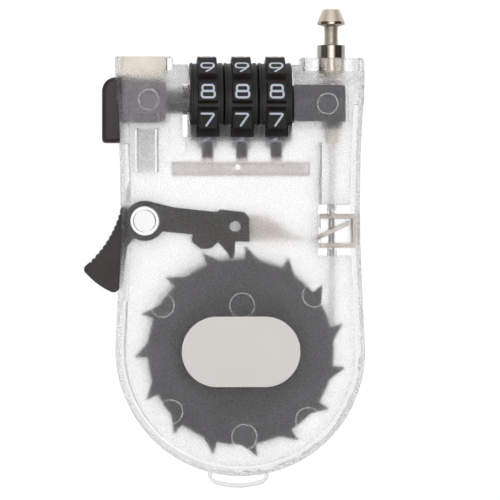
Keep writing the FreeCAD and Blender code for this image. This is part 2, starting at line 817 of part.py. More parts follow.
def pad_notches():
    """Square notches along the pad's outer curve, for the thumb to grip."""
    (x0, y0), (x2, y2) = pad_outline[0], pad_outline[1][2:]
    half = serration_side / 2
    notches = []
    for number in range(serrations):
        t = (number + 1) / (serrations + 1)
        x = (1 - t) ** 2 * x0 + 2 * t * (1 - t) * pad_bow[0] + t ** 2 * x2
        y = (1 - t) ** 2 * y0 + 2 * t * (1 - t) * pad_bow[1] + t ** 2 * y2
        notch = box(-half, half, -half, half, 0, case_t)
        notch.rotate(vec(0, 0, 0), vec(0, 0, 1), serration_turn_deg)
        notch.translate(vec(pivot_x + x, pivot_y + y, 0))
        notches.append(notch)
    return notches


def make_lever():
    """The thumb lever: a pad outside the case, a ring on the pivot and an arm over the reel."""
    lever = fuse([
        rod_z(lever_ring_r, pivot_x, pivot_y, lever_back, arm_front),
        lever_slab(pad_outline, lever_back, pad_front),
        lever_slab(arm_outline, arm_back, arm_front),
        lever_slab(prong_outline, arm_front - prong_t, arm_front),
    ])
    return lever.cut(
        pad_notches() + [
            rod_z(pivot_boss_r + run_gap, pivot_x, pivot_y, 0, case_t),
            rod_z(rivet_r + seat_gap, rivet_x, rivet_y, 0, case_t),
        ]
    )


def make_tongue():
    """The steel tongue under the arm, and the rivet that holds it."""
    back = arm_back - tongue_t
    tip = [(x + blade_tail_x - pivot_x, y) for x, y in tongue_tip]
    tongue = lever_slab(tongue_top + tip + tongue_under, back, arm_back)
    tongue = tongue.cut(rod_z(rivet_r + seat_gap, rivet_x, rivet_y, 0, case_t))
    rivet = fuse([
        rod_z(rivet_r, rivet_x, rivet_y, back, arm_front + rivet_head),
        rod_z(rivet_head_r, rivet_x, rivet_y, arm_front, arm_front + rivet_head),
    ])
    return {"release_tongue": tongue, "tongue_rivet": rivet}


def make_clamp():
    """The one-way clamp: a folded bracket and the tilted blade that grips the cable."""
    z0, z1 = mid - clamp_half, mid + clamp_half
    bracket = fuse([
        box(clamp_x0, clamp_x1, clamp_y1 - leaf_t, clamp_y1, z0, z1),
        box(clamp_x1 - web_t, clamp_x1, clamp_y0, clamp_y1, z0, z1),
        box(clamp_x0, clamp_x1, clamp_y0, clamp_y0 + leaf_t, z0, z1),
    ]).cut(rod_y(leaf_hole_r, cable_x, clamp_y0 - over, clamp_y1 + over, mid))
    run, rise = blade_pivot_x - blade_tail_x, blade_pivot_y - blade_tail_y
    length = math.hypot(run, rise)
    slope = math.degrees(math.atan2(rise, run))
    hole_at = (cable_x - blade_tail_x) / math.cos(math.radians(slope))
    blade = box(0, length + side_gap, -blade_t / 2, blade_t / 2, mid - blade_half, mid + blade_half)
    blade = blade.cut(rod_y(blade_hole_r, hole_at, -over, over, mid))
    blade.rotate(vec(0, 0, 0), vec(0, 0, 1), slope)
    blade.translate(vec(blade_tail_x, blade_tail_y, 0))
    return {"clamp_bracket": bracket, "clamp_blade": blade}


def make_detent():
    """The leaf spring whose fingers click into the dials."""
    pieces = [box(-leaf_x, leaf_x, leaf_y0, leaf_y1, leaf_back, leaf_back + leaf_strip_t)]
    for number in range(dial_count):
        centre = dial_centre(number) - dial_w / 2 + ring_from_left + ring_w / 2
        pieces.append(
            box(centre - finger_w / 2, centre + finger_w / 2, leaf_y1 - leaf_strip_t, finger_top,
                leaf_back, leaf_back + leaf_strip_t)
        )
    hole = rod_z(leaf_pin["r"] + run_gap, leaf_pin["x"], leaf_pin["y"], 0, case_t)
    return fuse(pieces).cut(hole)


def make_plunger():
    """The ejector that pushes the bolt out of the open latch."""
    rod_low = pocket_low + plunger_travel + side_gap
    return fuse([
        rod_y(plunger_head_r, socket_x, plunger_head_y0, plunger_head_y1, mid),
        rod_y(plunger_rod_r, socket_x, rod_low, plunger_head_y0, mid),
    ])


def make_springs():
    """The three small coil springs: ejector, button and lever."""
    eject_len = plunger_head_y0 - pocket_low - 2 * eject_wire_r - 2 * seat_gap
    eject = coil(
        eject_spring_r, eject_wire_r, eject_turns, eject_len,
        vec(socket_x, pocket_low + eject_wire_r + seat_gap, mid), vec(0, 1, 0),
    )
    button_len = block_bore_end - spindle_x1 - 2 * button_wire_r - 2 * seat_gap
    button = coil(
        spindle_r - 2 * button_wire_r, button_wire_r, button_spring_turns, button_len,
        vec(spindle_x1 + button_wire_r + seat_gap, dial_y, mid), vec(1, 0, 0),
    )
    lever_len = lever_back - plate - 2 * lever_wire_r - 4 * seat_gap
    lever = coil(
        lever_spring_r, lever_wire_r, 2, lever_len,
        vec(pivot_x, pivot_y, plate + lever_wire_r + 2 * seat_gap), vec(0, 0, 1),
    )
    return {"eject_spring": eject, "button_spring": button, "lever_spring": lever}


def make_label():
    """The bare metal plate in the front's recess."""
    half = (plate_len - plate_wid) / 2
    back = case_t - recess_depth
    return stadium(-half, half, 0, plate_wid / 2, back, back + label_t)


def build():
    parts = {}
    parts.update(make_shells())
    parts.update(make_ferrules())
    parts.update(make_dials())
    parts.update(make_tongue())
    parts.update(make_clamp())
    parts.update(make_springs())
    parts["end_block"] = make_end_block()
    parts["spindle"] = make_spindle()
    parts["latch_slider"] = make_slider()
    parts["release_button"] = make_button()
    parts["cable_bolt"] = make_bolt()
    parts["cable_run"] = rod_y(cable_r, cable_x, 0, shank_low, mid)
    parts["cable_coil"] = make_coil()
    parts["cable_drum"] = make_drum()
    parts["ratchet_wheel"] = make_ratchet()
    parts["drive_spring"] = make_drive_spring()
    parts["thumb_lever"] = make_lever()
    parts["detent_spring"] = make_detent()
    parts["eject_plunger"] = make_plunger()
    parts["label_plate"] = make_label()
    return parts


os.makedirs("parts", exist_ok=True)
for name, shape in build().items():
    box_of = shape.BoundBox
    print(f"{name:18s} solids {len(shape.Solids)} valid {shape.isValid()} volume {shape.Volume:9.2f}",
          f"x {box_of.XMin:7.2f} {box_of.XMax:7.2f} y {box_of.YMin:7.2f} {box_of.YMax:7.2f}",
          f"z {box_of.ZMin:6.2f} {box_of.ZMax:6.2f}")
    shape.exportStep(f"parts/{name}.step")
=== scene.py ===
import json
import math

import bmesh
import bpy
from bpy.props import FloatProperty, FloatVectorProperty, IntProperty, PointerProperty
from mathutils import Matrix, Vector
from mathutils.bvhtree import BVHTree


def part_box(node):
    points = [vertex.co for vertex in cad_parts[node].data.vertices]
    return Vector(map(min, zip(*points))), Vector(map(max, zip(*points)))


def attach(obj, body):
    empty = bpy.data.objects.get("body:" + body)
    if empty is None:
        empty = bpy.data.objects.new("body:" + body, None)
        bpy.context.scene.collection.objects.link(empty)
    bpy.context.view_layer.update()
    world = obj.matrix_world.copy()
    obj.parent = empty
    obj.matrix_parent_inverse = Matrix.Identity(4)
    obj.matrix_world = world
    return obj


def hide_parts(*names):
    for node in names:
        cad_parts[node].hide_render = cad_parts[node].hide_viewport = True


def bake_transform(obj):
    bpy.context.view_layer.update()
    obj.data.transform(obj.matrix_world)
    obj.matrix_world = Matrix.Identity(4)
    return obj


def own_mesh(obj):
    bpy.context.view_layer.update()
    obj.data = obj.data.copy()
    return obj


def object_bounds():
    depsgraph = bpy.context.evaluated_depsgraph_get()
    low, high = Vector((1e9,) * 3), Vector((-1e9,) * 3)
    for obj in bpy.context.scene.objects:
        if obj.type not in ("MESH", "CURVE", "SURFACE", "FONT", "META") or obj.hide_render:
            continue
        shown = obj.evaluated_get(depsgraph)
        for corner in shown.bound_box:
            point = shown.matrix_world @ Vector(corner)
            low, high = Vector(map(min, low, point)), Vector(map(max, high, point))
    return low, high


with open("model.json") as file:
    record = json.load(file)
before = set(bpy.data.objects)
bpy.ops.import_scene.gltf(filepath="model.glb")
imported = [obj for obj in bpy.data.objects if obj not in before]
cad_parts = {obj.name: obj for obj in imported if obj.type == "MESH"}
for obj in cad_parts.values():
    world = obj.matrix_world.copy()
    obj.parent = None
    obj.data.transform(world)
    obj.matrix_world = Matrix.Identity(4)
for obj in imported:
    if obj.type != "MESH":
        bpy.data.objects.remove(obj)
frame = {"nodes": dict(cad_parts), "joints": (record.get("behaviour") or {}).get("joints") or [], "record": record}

bl_info = {
    "name": "Clear Case Cable Lock",
    "version": (1, 0, 0),
    "blender": (4, 5, 0),
    "location": "View3D > Sidebar > Cable Lock",
    "description": "Finishes a retractable cable lock with number dials and a clear case",
    "category": "Object",
}

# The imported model: its box, its nodes and its joints, in metres
CAD_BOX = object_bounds()
NODES = frame["nodes"]
JOINTS = {joint["name"]: joint for joint in frame["joints"]}
DIALS = ("dial_1", "dial_2", "dial_3")
MM = 0.001
X, Y, Z = Vector((1, 0, 0)), Vector((0, 1, 0)), Vector((0, 0, 1))

# Corners nearer than this are one, and the halves' round edges meet within the weld's reach
SAME_CORNER = 2e-7
WELD_REACH = 0.04 * MM

# A dial's rim and its ring of number pads, and how they stand at rest
DIAL_BORE = 4.43 * MM
RIM_R = 6.74 * MM
RIM_FLAT = 0.42 * MM
RIM_GROOVE = 0.12 * MM
RIM_ROUND = 0.18 * MM
GROOVE_SLOPE = 0.08 * MM
RIGHT_FLAT = 0.6 * MM
RING_FOOT_R = 5.54 * MM
RING_CORNER_R = 7.9 * MM
RING_LEFT = 1.2 * MM
RING_WIDTH = 3.45 * MM
RING_DRAFT = 0.16 * MM
RING_ROUND = 0.1 * MM
RING_ROOM = 0.15 * MM
PAD_COUNT = 10
PAD_STEP = math.tau / PAD_COUNT
PAD_TOP_HALF = math.radians(11.5)
PAD_FOOT_HALF = math.radians(15.3)
REST_TURN = math.radians(12.5)
REST_DIGIT = 8

# The bolt's turned outline from its top down, (distance from the axis, height) in millimetres,
# and the depths at which its head ends and its plain neck starts and ends
BOLT_PROFILE = (
    (0, 0), (1.25, 0), (1.42, -0.08), (1.53, -0.24), (2.2, -1.9), (2.31, -2.14), (2.335, -2.25),
    (2.335, -2.55), (2.28, -2.62), (1.4, -2.84), (1.22, -2.95), (1.15, -3.1), (1.1, -4.5),
    (1.15, -5.9), (1.25, -6.04), (1.4, -6.1), (2.24, -6.1), (2.34, -6.15), (2.37, -6.26),
    (2.37, -11.48), (2.33, -11.57), (2.25, -11.6), (1.2, -11.6), (1.2, -22.6), (1.12, -22.7),
    (0, -22.7),
)
HEAD_DEPTH, NECK_START, NECK_END = 2.15 * MM, 2.7 * MM, 6.05 * MM

# The bolt's finishes: name, tone of the nickel and roughness. The roughness is the finish; the tones are painted
# light, the head lighter and the collar darker than the nickel
BOLT_FINISH_AND_LIGHT = (("bolt_head", 1.4, 0.5), ("bolt_neck", 0.86, 0.5), ("bolt_collar", 0.68, 0.17))

# Marks that the mould's ejector pins leave inside the clear case: (x, y, radius) in millimetres
PIN_MARKS = (
    (-13.2, 7.8, 1.96), (0.2, 7.8, 2.08), (12.3, 9.5, 1.95), (-11.8, -10.06, 2.0),
    (0.58, -14.3, 2.1), (11.3, -11.45, 2.08), (-15.5, 42.3, 1.66), (14.6, 41.7, 1.7),
)

# Where the inside of the case is polished: (middle, half size) on X and Y in millimetres
CLEAR_WINDOWS = (
    ((17.1, 20.4), (3.9, 3.3)),
    ((15.5, 47.9), (3.3, 2.2)),
    ((-15.9, 48.2), (4.6, 2.2)),
)

# Shares of the frost that are left in those windows and inside the pins' marks
WINDOW_FROST = 0.15
MARK_FROST = 0.6

# Where painted shade darkens the detent's leaf towards its fingers, and where the wheel's hollow web and its
# painted shade end
FINGER_SHADE_Y = (32.1 * MM, 32.9 * MM)
WEB_SHADE_END = (10.4 * MM, 12.2 * MM)

# Half the thickness of the three coil springs' round wire
SPRING_WIRE = 0.15 * MM

# A noise's values lie mostly between these two
NOISE_LOW, NOISE_HIGH = 0.3, 0.7

# Light of the room and of the floor
ROOM_LIGHT = 0.62
FLOOR_GREY = 0.3
FLOOR_GLOW = 0.84


def middle(node):
    """The middle of a node's box."""
    low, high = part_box(node)
    return (low + high) / 2


def size(node):
    """The length of a node's box along each axis."""
    low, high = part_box(node)
    return high - low


# Shapes


def turned(profile, place, axis, side, steps=72, closed=False):
    """A shape turned about the line through place along axis, from (distance, height) points."""
    bm = bmesh.new()
    points = [bm.verts.new(place + side * reach + axis * height) for reach, height in profile]
    pairs = list(zip(points, points[1:])) + ([(points[-1], points[0])] if closed else [])
    edges = [bm.edges.new(pair) for pair in pairs]
    bmesh.ops.spin(
        bm, geom=points + edges, cent=place, axis=axis, angle=math.tau, steps=steps, use_merge=True
    )
    bmesh.ops.remove_doubles(bm, verts=bm.verts, dist=1e-8)
    bmesh.ops.recalc_face_normals(bm, faces=bm.faces)
    return bm


def wound(radius, wire, place, axis, side, turns, length, steps=40, sides=12):
    """Round wire wound about the line through place along axis, with closed ends."""
    bm = bmesh.new()
    centre = place + side * radius
    turn = Matrix((side, axis, side.cross(axis))).transposed().to_4x4()
    ring = bmesh.ops.create_circle(
        bm, cap_ends=True, segments=sides, radius=wire, matrix=Matrix.Translation(centre) @ turn
    )
    count = max(3, round(steps * turns))
    bmesh.ops.spin(
        bm, geom=ring["verts"] + list(bm.edges) + list(bm.faces), cent=place, axis=axis,
        dvec=axis * (length / count), angle=math.tau * turns, steps=count,
    )
    bmesh.ops.remove_doubles(bm, verts=bm.verts, dist=1e-8)
    bmesh.ops.recalc_face_normals(bm, faces=bm.faces)
    return bm


def eased(bm, width, limit, segments=2):
    """Rounds the edges whose faces meet at more than the limit."""
    sharp = [
        edge for edge in bm.edges
        if edge.is_manifold and abs(edge.calc_face_angle_signed(0)) > math.radians(limit)
    ]
    bmesh.ops.bevel(
        bm, geom=sharp, offset=width, affect="EDGES", segments=segments, profile=0.5, material=-1,
        clamp_overlap=True,
    )
    return bm


def merged_copy(node):
    """A node's mesh with its corners joined and its flat faces whole."""
    bm = bmesh.new()
    bm.from_mesh(NODES[node].data)
    bmesh.ops.remove_doubles(bm, verts=bm.verts, dist=1e-7)
    bmesh.ops.dissolve_limit(
        bm, angle_limit=math.radians(0.4), verts=bm.verts, edges=bm.edges, delimit={"NORMAL"}
    )
    return bm


def add_piece(name, bm, body, finish, replaces=(), crease=32.0):
    """Turns a bmesh into a piece that rides on a body, or on none yet."""
    mesh = bpy.data.meshes.new(name)
    bm.to_mesh(mesh)
    bm.free()
    # A copy of a node brings its old normals along, which don't fit the new shape
    stale = mesh.attributes.get("custom_normal")
    if stale:
        mesh.attributes.remove(stale)
    mesh.shade_smooth()
    mesh.set_sharp_from_angle(angle=math.radians(crease))
    mesh.materials.append(finish)
    piece = bpy.data.objects.new(name, mesh)
    bpy.context.scene.collection.objects.link(piece)
    even = piece.modifiers.new("even_shading", "WEIGHTED_NORMAL")
    even.keep_sharp = True
    if body:
        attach(piece, body)
    if replaces:
        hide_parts(*replaces)
    return piece


def dress(node, finish):
    """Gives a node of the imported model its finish."""
    materials = NODES[node].data.materials
    materials.clear()
    materials.append(finish)


def body_of(node):
    """The rigid body that a node belongs to."""
    return next(b for b, nodes in frame["record"]["behaviour"]["bodies"].items() if node in nodes)


def refine(node, finish, width, limit=32.0, segments=2):
    """Stands in for a node with a copy whose edges are softly rounded."""
    bm = eased(merged_copy(node), width, limit, segments)
    name = f"{node}_finished"
    return add_piece(name, bm, body_of(node), finish, [node])


# Finishes


def new_finish(name, colour, roughness, metallic=0.0, gloss=0.5):
    """A material with its shader, ready for the nodes that give it detail."""
    made = bpy.data.materials.new(name)
    made.use_nodes = True
    shader = made.node_tree.nodes["Principled BSDF"]
    shader.inputs["Base Color"].default_value = (*colour, 1)
    shader.inputs["Roughness"].default_value = roughness
    shader.inputs["Metallic"].default_value = metallic
    shader.inputs["Specular IOR Level"].default_value = gloss
    return made, shader


def grain(made, scale, stretch=(1, 1, 1), detail=4.0):
    """A noise on the piece's own coordinates, stretched along its axes."""
    tree = made.node_tree
    place = tree.nodes.new("ShaderNodeMapping")
    noise = tree.nodes.new("ShaderNodeTexNoise")
    place.inputs["Scale"].default_value = stretch
    noise.inputs["Scale"].default_value = scale
    noise.inputs["Detail"].default_value = detail
    tree.links.new(own_place(tree), place.inputs["Vector"])
    tree.links.new(place.outputs["Vector"], noise.inputs["Vector"])
    return noise


def relief(made, shader, noise, depth):
    """Fine bumps from a noise, with their depth in metres."""
    tree = made.node_tree
    bump = tree.nodes.new("ShaderNodeBump")
    bump.inputs["Distance"].default_value = depth
    bump.inputs["Strength"].default_value = 1.0
    tree.links.new(noise.outputs["Fac"], bump.inputs["Height"])
    tree.links.new(bump.outputs["Normal"], shader.inputs["Normal"])


def spread(made, noise, socket, low, high, start=NOISE_LOW, end=NOISE_HIGH):
    """Drives a number of the shader from a noise, between two values."""
    tree = made.node_tree
    tree.links.new(ramped(tree, noise.outputs["Fac"], start, end, low, high), socket)


def tint(made, shader, noise, dark, light):
    """Colour that drifts between two shades with a noise."""
    tree = made.node_tree
    ramp = tree.nodes.new("ShaderNodeValToRGB")
    stops = zip(ramp.color_ramp.elements, (NOISE_LOW, NOISE_HIGH), (dark, light))
    for stop, position, colour in stops:
        stop.position = position
        stop.color = (*colour, 1)
    tree.links.new(noise.outputs["Fac"], ramp.inputs["Fac"])
    tree.links.new(ramp.outputs["Color"], shader.inputs["Base Color"])


def shade(colour, factor):
    """A colour made darker or lighter by a factor."""
    return tuple(min(1.0, value * factor) for value in colour)


def worked_out(tree, kind, operation, first, second):
    """A node that works something out from sockets or plain values."""
    step = tree.nodes.new(kind)
    step.operation = operation
    for value, socket in zip((first, second), step.inputs):
        if isinstance(value, bpy.types.NodeSocket):
            tree.links.new(value, socket)
        elif value is not None:
            socket.default_value = value
    return step


def sum_of(tree, operation, first, second=None):
    """A number worked out from numbers."""
    return worked_out(tree, "ShaderNodeMath", operation, first, second).outputs["Value"]


def vector_of(tree, operation, first, second=None):
    """A vector worked out from vectors."""
    return worked_out(tree, "ShaderNodeVectorMath", operation, first, second).outputs["Vector"]


def length_of(tree, operation, first, second=None):
    """A length or a distance worked out from vectors."""
    return worked_out(tree, "ShaderNodeVectorMath", operation, first, second).outputs["Value"]


def own_place(tree):
    """A place on the piece, in the piece's own coordinates."""
    return tree.nodes.new("ShaderNodeTexCoord").outputs["Object"]


def parted(tree, vector):
    """The X, the Y and the Z of a vector."""
    step = tree.nodes.new("ShaderNodeSeparateXYZ")
    tree.links.new(vector, step.inputs["Vector"])
    return tuple(step.outputs)


def ramped(tree, value, start, end, low=0.0, high=1.0):
    """A number that climbs from low to high while the value goes from start to end."""
    ramp = tree.nodes.new("ShaderNodeMapRange")
    for name, amount in (("From Min", start), ("From Max", end), ("To Min", low), ("To Max", high)):
        ramp.inputs[name].default_value = amount
    tree.links.new(value, ramp.inputs["Value"])
    return ramp.outputs["Result"]


def clear_plastic(name, colour, frost, bite, shine):
    """Clear moulded plastic, with a fine spark texture as many millimetres deep as bite."""
    made, shader = new_finish(name, colour, frost)
    shader.inputs["Transmission Weight"].default_value = 1.0
    shader.inputs["IOR"].default_value = looks().case_index
    shader.inputs["Specular Tint"].default_value = (shine, shine, shine, 1)
    spark = grain(made, 4200, detail=3.0)
    relief(made, shader, spark, bite * MM)
    cloud = grain(made, 160)
    spread(made, cloud, shader.inputs["Roughness"], frost * 0.9, frost * 1.12)
    return made


def from_marks(tree, marks):
    """How far a place is outside the nearest round mark, less than nothing inside one."""
    flat = vector_of(tree, "MULTIPLY", own_place(tree), (1, 1, 0))
    nearest = 1.0
    for x, y, radius in marks:
        reach = length_of(tree, "DISTANCE", flat, (x * MM, y * MM, 0))
        past = sum_of(tree, "SUBTRACT", reach, radius * MM)
        nearest = sum_of(tree, "MINIMUM", nearest, past)
    return nearest


def from_windows(tree, windows):
    """How far a place is outside the nearest rectangle, less than nothing inside one."""
    place = own_place(tree)
    nearest = 1.0
    for (x, y), (half_x, half_y) in windows:
        away = vector_of(tree, "SUBTRACT", place, (x * MM, y * MM, 0))
        away = vector_of(tree, "ABSOLUTE", away)
        away = vector_of(tree, "SUBTRACT", away, (half_x * MM, half_y * MM, 0))
        across, up, _ = parted(tree, away)
        nearest = sum_of(tree, "MINIMUM", nearest, sum_of(tree, "MAXIMUM", across, up))
    return nearest


def moulding_marks(made, gloss, width, clearness):
    """Polishes the windows in a frosted plastic, and rings the pins' marks with a paler line."""
    tree = made.node_tree
    shader = tree.nodes["Principled BSDF"]
    marks = from_marks(tree, PIN_MARKS)
    off_line = sum_of(tree, "ABSOLUTE", marks)
    tree.links.new(
        ramped(tree, off_line, width / 2, width, clearness), shader.inputs["Transmission Weight"]
    )
    frost = ramped(tree, from_windows(tree, CLEAR_WINDOWS), -width, width, WINDOW_FROST)
    haze = ramped(tree, marks, -width, width, MARK_FROST)
    both = sum_of(tree, "MULTIPLY", frost, haze)
    rough = shader.inputs["Roughness"]
    mix = tree.nodes.new("ShaderNodeMix")
    mix.inputs["A"].default_value = gloss
    tree.links.new(rough.links[0].from_socket, mix.inputs["B"])
    tree.links.new(both, mix.inputs["Factor"])
    tree.links.new(mix.outputs["Result"], rough)
    tree.links.new(frost, shader.inputs["Normal"].links[0].from_node.inputs["Strength"])


def sparkled(made, share):
    """Lets the tiny grains of a frosted plastic show a share of what is behind them unblurred."""
    shader = made.node_tree.nodes["Principled BSDF"]
    spark = grain(made, 5200, detail=1.0)
    spread(made, spark, shader.inputs["Alpha"], 1 - share, 1, 0.42, 0.58)


def painted_rim_shade(made, widths, rim, soft, clear, shade_tint):
    """Paints shade on the case where its side wall stands behind the face, from the outline's half widths."""
    tree = made.node_tree
    across, up, _ = parted(tree, own_place(tree))
    top, most = max(widths)[0], max(wide for _, wide in widths)
    outline = tree.nodes.new("ShaderNodeFloatCurve")
    line = outline.mapping.curves[0]
    for number, (height, wide) in enumerate(widths):
        share = (height / top, wide / most)
        if number in (0, len(widths) - 1):
            line.points[0 if number == 0 else -1].location = share
        else:
            line.points.new(*share)
    outline.mapping.update()
    above = sum_of(tree, "MAXIMUM", up, 0.0)
    tree.links.new(sum_of(tree, "MULTIPLY", above, 1 / top), outline.inputs["Value"])
    reach = sum_of(tree, "MULTIPLY", outline.outputs["Value"], most)
    below = tree.nodes.new("ShaderNodeCombineXYZ")
    tree.links.new(across, below.inputs["X"])
    tree.links.new(sum_of(tree, "MINIMUM", up, 0.0), below.inputs["Y"])
    inside = sum_of(tree, "SUBTRACT", reach, length_of(tree, "LENGTH", below.outputs["Vector"]))
    mix = tree.nodes.new("ShaderNodeMix")
    mix.data_type = "RGBA"
    colours = [socket for socket in mix.inputs if socket.type == "RGBA"]
    colours[0].default_value = (*shade_tint, 1)
    colours[1].default_value = (*clear, 1)
    tree.links.new(ramped(tree, inside, rim - soft, rim + soft), mix.inputs["Factor"])
    result = next(socket for socket in mix.outputs if socket.type == "RGBA")
    tree.links.new(result, tree.nodes["Principled BSDF"].inputs["Base Color"])


def moulded_plastic(name, colour, roughness, bite=0.012):
    """Opaque moulded plastic with a fine matt skin and a slight drift of tone."""
    made, shader = new_finish(name, colour, roughness, gloss=0.25)
    skin = grain(made, 3800, detail=3.0)
    relief(made, shader, skin, bite * MM)
    cloud = grain(made, 220)
    tint(made, shader, cloud, shade(colour, 0.88), shade(colour, 1.14))
    handled = grain(made, 420)
    spread(made, handled, shader.inputs["Roughness"], roughness * 0.88, roughness * 1.12)
    return made


def brushed_metal(name, colour, roughness, stretch=(1, 1, 1), bite=0.004):
    """Bright metal with fine marks along one direction and cloudy wear."""
    made, shader = new_finish(name, colour, roughness, 1.0)
    marks = grain(made, 2600, stretch, detail=3.0)
    relief(made, shader, marks, bite * MM)
    cloud = grain(made, 300)
    tint(made, shader, cloud, shade(colour, 0.9), shade(colour, 1.06))
    rubbed = grain(made, 700, stretch)
    spread(made, rubbed, shader.inputs["Roughness"], roughness * 0.8, roughness * 1.25)
    return made


def satin_sheet(name, colour, roughness):
    """The name plate's satin face, finely blasted."""
    made, shader = new_finish(name, colour, roughness, 0.35)
    blast = grain(made, 6500, detail=2.0)
    relief(made, shader, blast, 0.002 * MM)
    cloud = grain(made, 90)
    tint(made, shader, cloud, shade(colour, 0.985), shade(colour, 1.012))
    return made


def milky_nylon(name, colour, roughness, through, index=1.3):
    """Natural nylon that lets some light through."""
    made, shader = new_finish(name, colour, roughness)
    shader.inputs["Transmission Weight"].default_value = through
    shader.inputs["IOR"].default_value = index
    skin = grain(made, 2400, detail=2.0)
    relief(made, shader, skin, 0.006 * MM)
    cloud = grain(made, 260)
    tint(made, shader, cloud, shade(colour, 0.96), shade(colour, 1.03))
    return made


def number_paint(name, colour):
    """Paint of the digits, thin at the edges and a little chalky."""
    made, shader = new_finish(name, colour, 0.5)
    chalk = grain(made, 1800)
    tint(made, shader, chalk, shade(colour, 0.9), shade(colour, 1.06))
    relief(made, shader, chalk, 0.01 * MM)
    return made


# What a user may change


class LockLooks(bpy.types.PropertyGroup):
    """Colours and gloss of the lock."""

    case_colour: FloatVectorProperty(
        name="Case colour", description="Tint of the clear plastic", subtype="COLOR",
        default=(0.995, 0.995, 0.995), min=0, max=1,
    )
    case_index: FloatProperty(
        name="Case index", description="Refractive index of the clear plastic", default=1.34,
        min=1.0, max=2.0,
    )
    case_shine: FloatProperty(
        name="Case shine", description="Share of the case's mirror light that is kept",
        subtype="FACTOR", default=0.5, min=0, max=1,
    )
    case_frost: FloatProperty(
        name="Case frost", description="How far the case's inside blurs what is behind it",
        subtype="FACTOR", default=0.75, min=0, max=1,
    )
    case_spark: FloatProperty(
        name="Case spark", description="Clearness of the frost's clearest grains",
        subtype="FACTOR", default=0.25, min=0, max=1,
    )
    side_colour: FloatVectorProperty(
        name="Side colour", description="Tint of the case's sides", subtype="COLOR",
        default=(0.95, 0.95, 0.96), min=0, max=1,
    )
    # Colour of the painted shade on the face over the side walls
    rim_shade_colour: FloatVectorProperty(
        name="Rim colour", description="Tint of the faces over the side walls", subtype="COLOR",
        default=(0.77, 0.765, 0.79), min=0, max=1,
    )
    case_gloss: FloatProperty(
        name="Case gloss", description="Roughness of the case's outside", subtype="FACTOR",
        default=0.14, min=0, max=1,
    )
    case_satin: FloatProperty(
        name="Case sides", description="Roughness of the case's sides", subtype="FACTOR",
        default=0.7, min=0, max=1,
    )
    dial_colour: FloatVectorProperty(
        name="Dial colour", description="Black plastic of the dials", subtype="COLOR",
        default=(0.016, 0.0145, 0.0135), min=0, max=1,
    )
    digit_colour: FloatVectorProperty(
        name="Digit colour", description="Paint of the numbers", subtype="COLOR",
        default=(0.53, 0.59, 0.7), min=0, max=1,
    )
    wheel_colour: FloatVectorProperty(
        name="Wheel colour", description="Black plastic of the reel and the latch", subtype="COLOR",
        default=(0.08, 0.074, 0.08), min=0, max=1,
    )
    button_colour: FloatVectorProperty(
        name="Button colour", description="Black plastic of the button", subtype="COLOR",
        default=(0.028, 0.0245, 0.0235), min=0, max=1,
    )
    plate_colour: FloatVectorProperty(
        name="Plate colour", description="Satin face of the name plate", subtype="COLOR",
        default=(0.56, 0.54, 0.52), min=0, max=1,
    )
    bolt_colour: FloatVectorProperty(
        name="Bolt colour", description="Nickel of the cable's end bolt", subtype="COLOR",
        default=(0.56, 0.49, 0.42), min=0, max=1,
    )
    brass_colour: FloatVectorProperty(
        name="Brass colour", description="Brass of the code sleeves", subtype="COLOR",
        default=(0.72, 0.55, 0.28), min=0, max=1,
    )
    steel_colour: FloatVectorProperty(
        name="Steel colour", description="Spring and clamp steel", subtype="COLOR",
        default=(0.43, 0.385, 0.345), min=0, max=1,
    )
    cable_colour: FloatVectorProperty(
        name="Cable colour", description="Bright steel of the cable", subtype="COLOR",
        default=(0.72, 0.71, 0.7), min=0, max=1,
    )
    leaf_colour: FloatVectorProperty(
        name="Leaf colour", description="Bright steel of the detent's leaf", subtype="COLOR",
        default=(0.57, 0.535, 0.525), min=0, max=1,
    )
    cream_colour: FloatVectorProperty(
        name="Cream colour", description="Nylon of the socket's sleeve", subtype="COLOR",
        default=(0.785, 0.72, 0.625), min=0, max=1,
    )
    milk_colour: FloatVectorProperty(
        name="Milk colour", description="Natural nylon of the drum", subtype="COLOR",
        default=(0.86, 0.86, 0.85), min=0, max=1,
    )
    sleeve_colour: FloatVectorProperty(
        name="Sleeve colour", description="Clear nylon of the sleeve round the bolt's collar",
        subtype="COLOR", default=(0.98, 0.98, 0.98), min=0, max=1,
    )
    plunger_colour: FloatVectorProperty(
        name="Plunger colour", description="Clear nylon of the plunger that lifts the bolt",
        subtype="COLOR", default=(0.95, 0.95, 0.95), min=0, max=1,
    )


class LockSizes(bpy.types.PropertyGroup):
    """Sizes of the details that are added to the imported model."""

    digit_width: FloatProperty(
        name="Digit width", description="Width of a number", unit="LENGTH", default=2.55 * MM
    )
    digit_height: FloatProperty(
        name="Digit height", description="Height of a number", unit="LENGTH", default=2.5 * MM
    )
    digit_stroke: FloatProperty(
        name="Digit stroke", description="Width of a number's stroke", unit="LENGTH",
        default=0.36 * MM,
    )
    digit_relief: FloatProperty(
        name="Digit relief", description="How far the paint stands proud", unit="LENGTH",
        default=0.04 * MM,
    )
    mark_width: FloatProperty(
        name="Pin mark width", description="Width of the ejector pins' rings", unit="LENGTH",
        default=0.15 * MM,
    )
    rim_width: FloatProperty(
        name="Rim width", description="Width of the case's tinted rim", unit="LENGTH",
        default=1.25 * MM,
    )
    cable_lay: FloatProperty(
        name="Cable lay", description="Length in which a strand goes once round the cable",
        unit="LENGTH", default=6.5 * MM,
    )
    cable_strands: IntProperty(
        name="Cable strands", description="Strands on the cable's outside", default=6, min=3
    )


def looks():
    """The colours and the gloss that the user has set."""
    return bpy.context.scene.lock_looks


def sizes():
    """The sizes of details that the user has set."""
    return bpy.context.scene.lock_sizes


# Digits


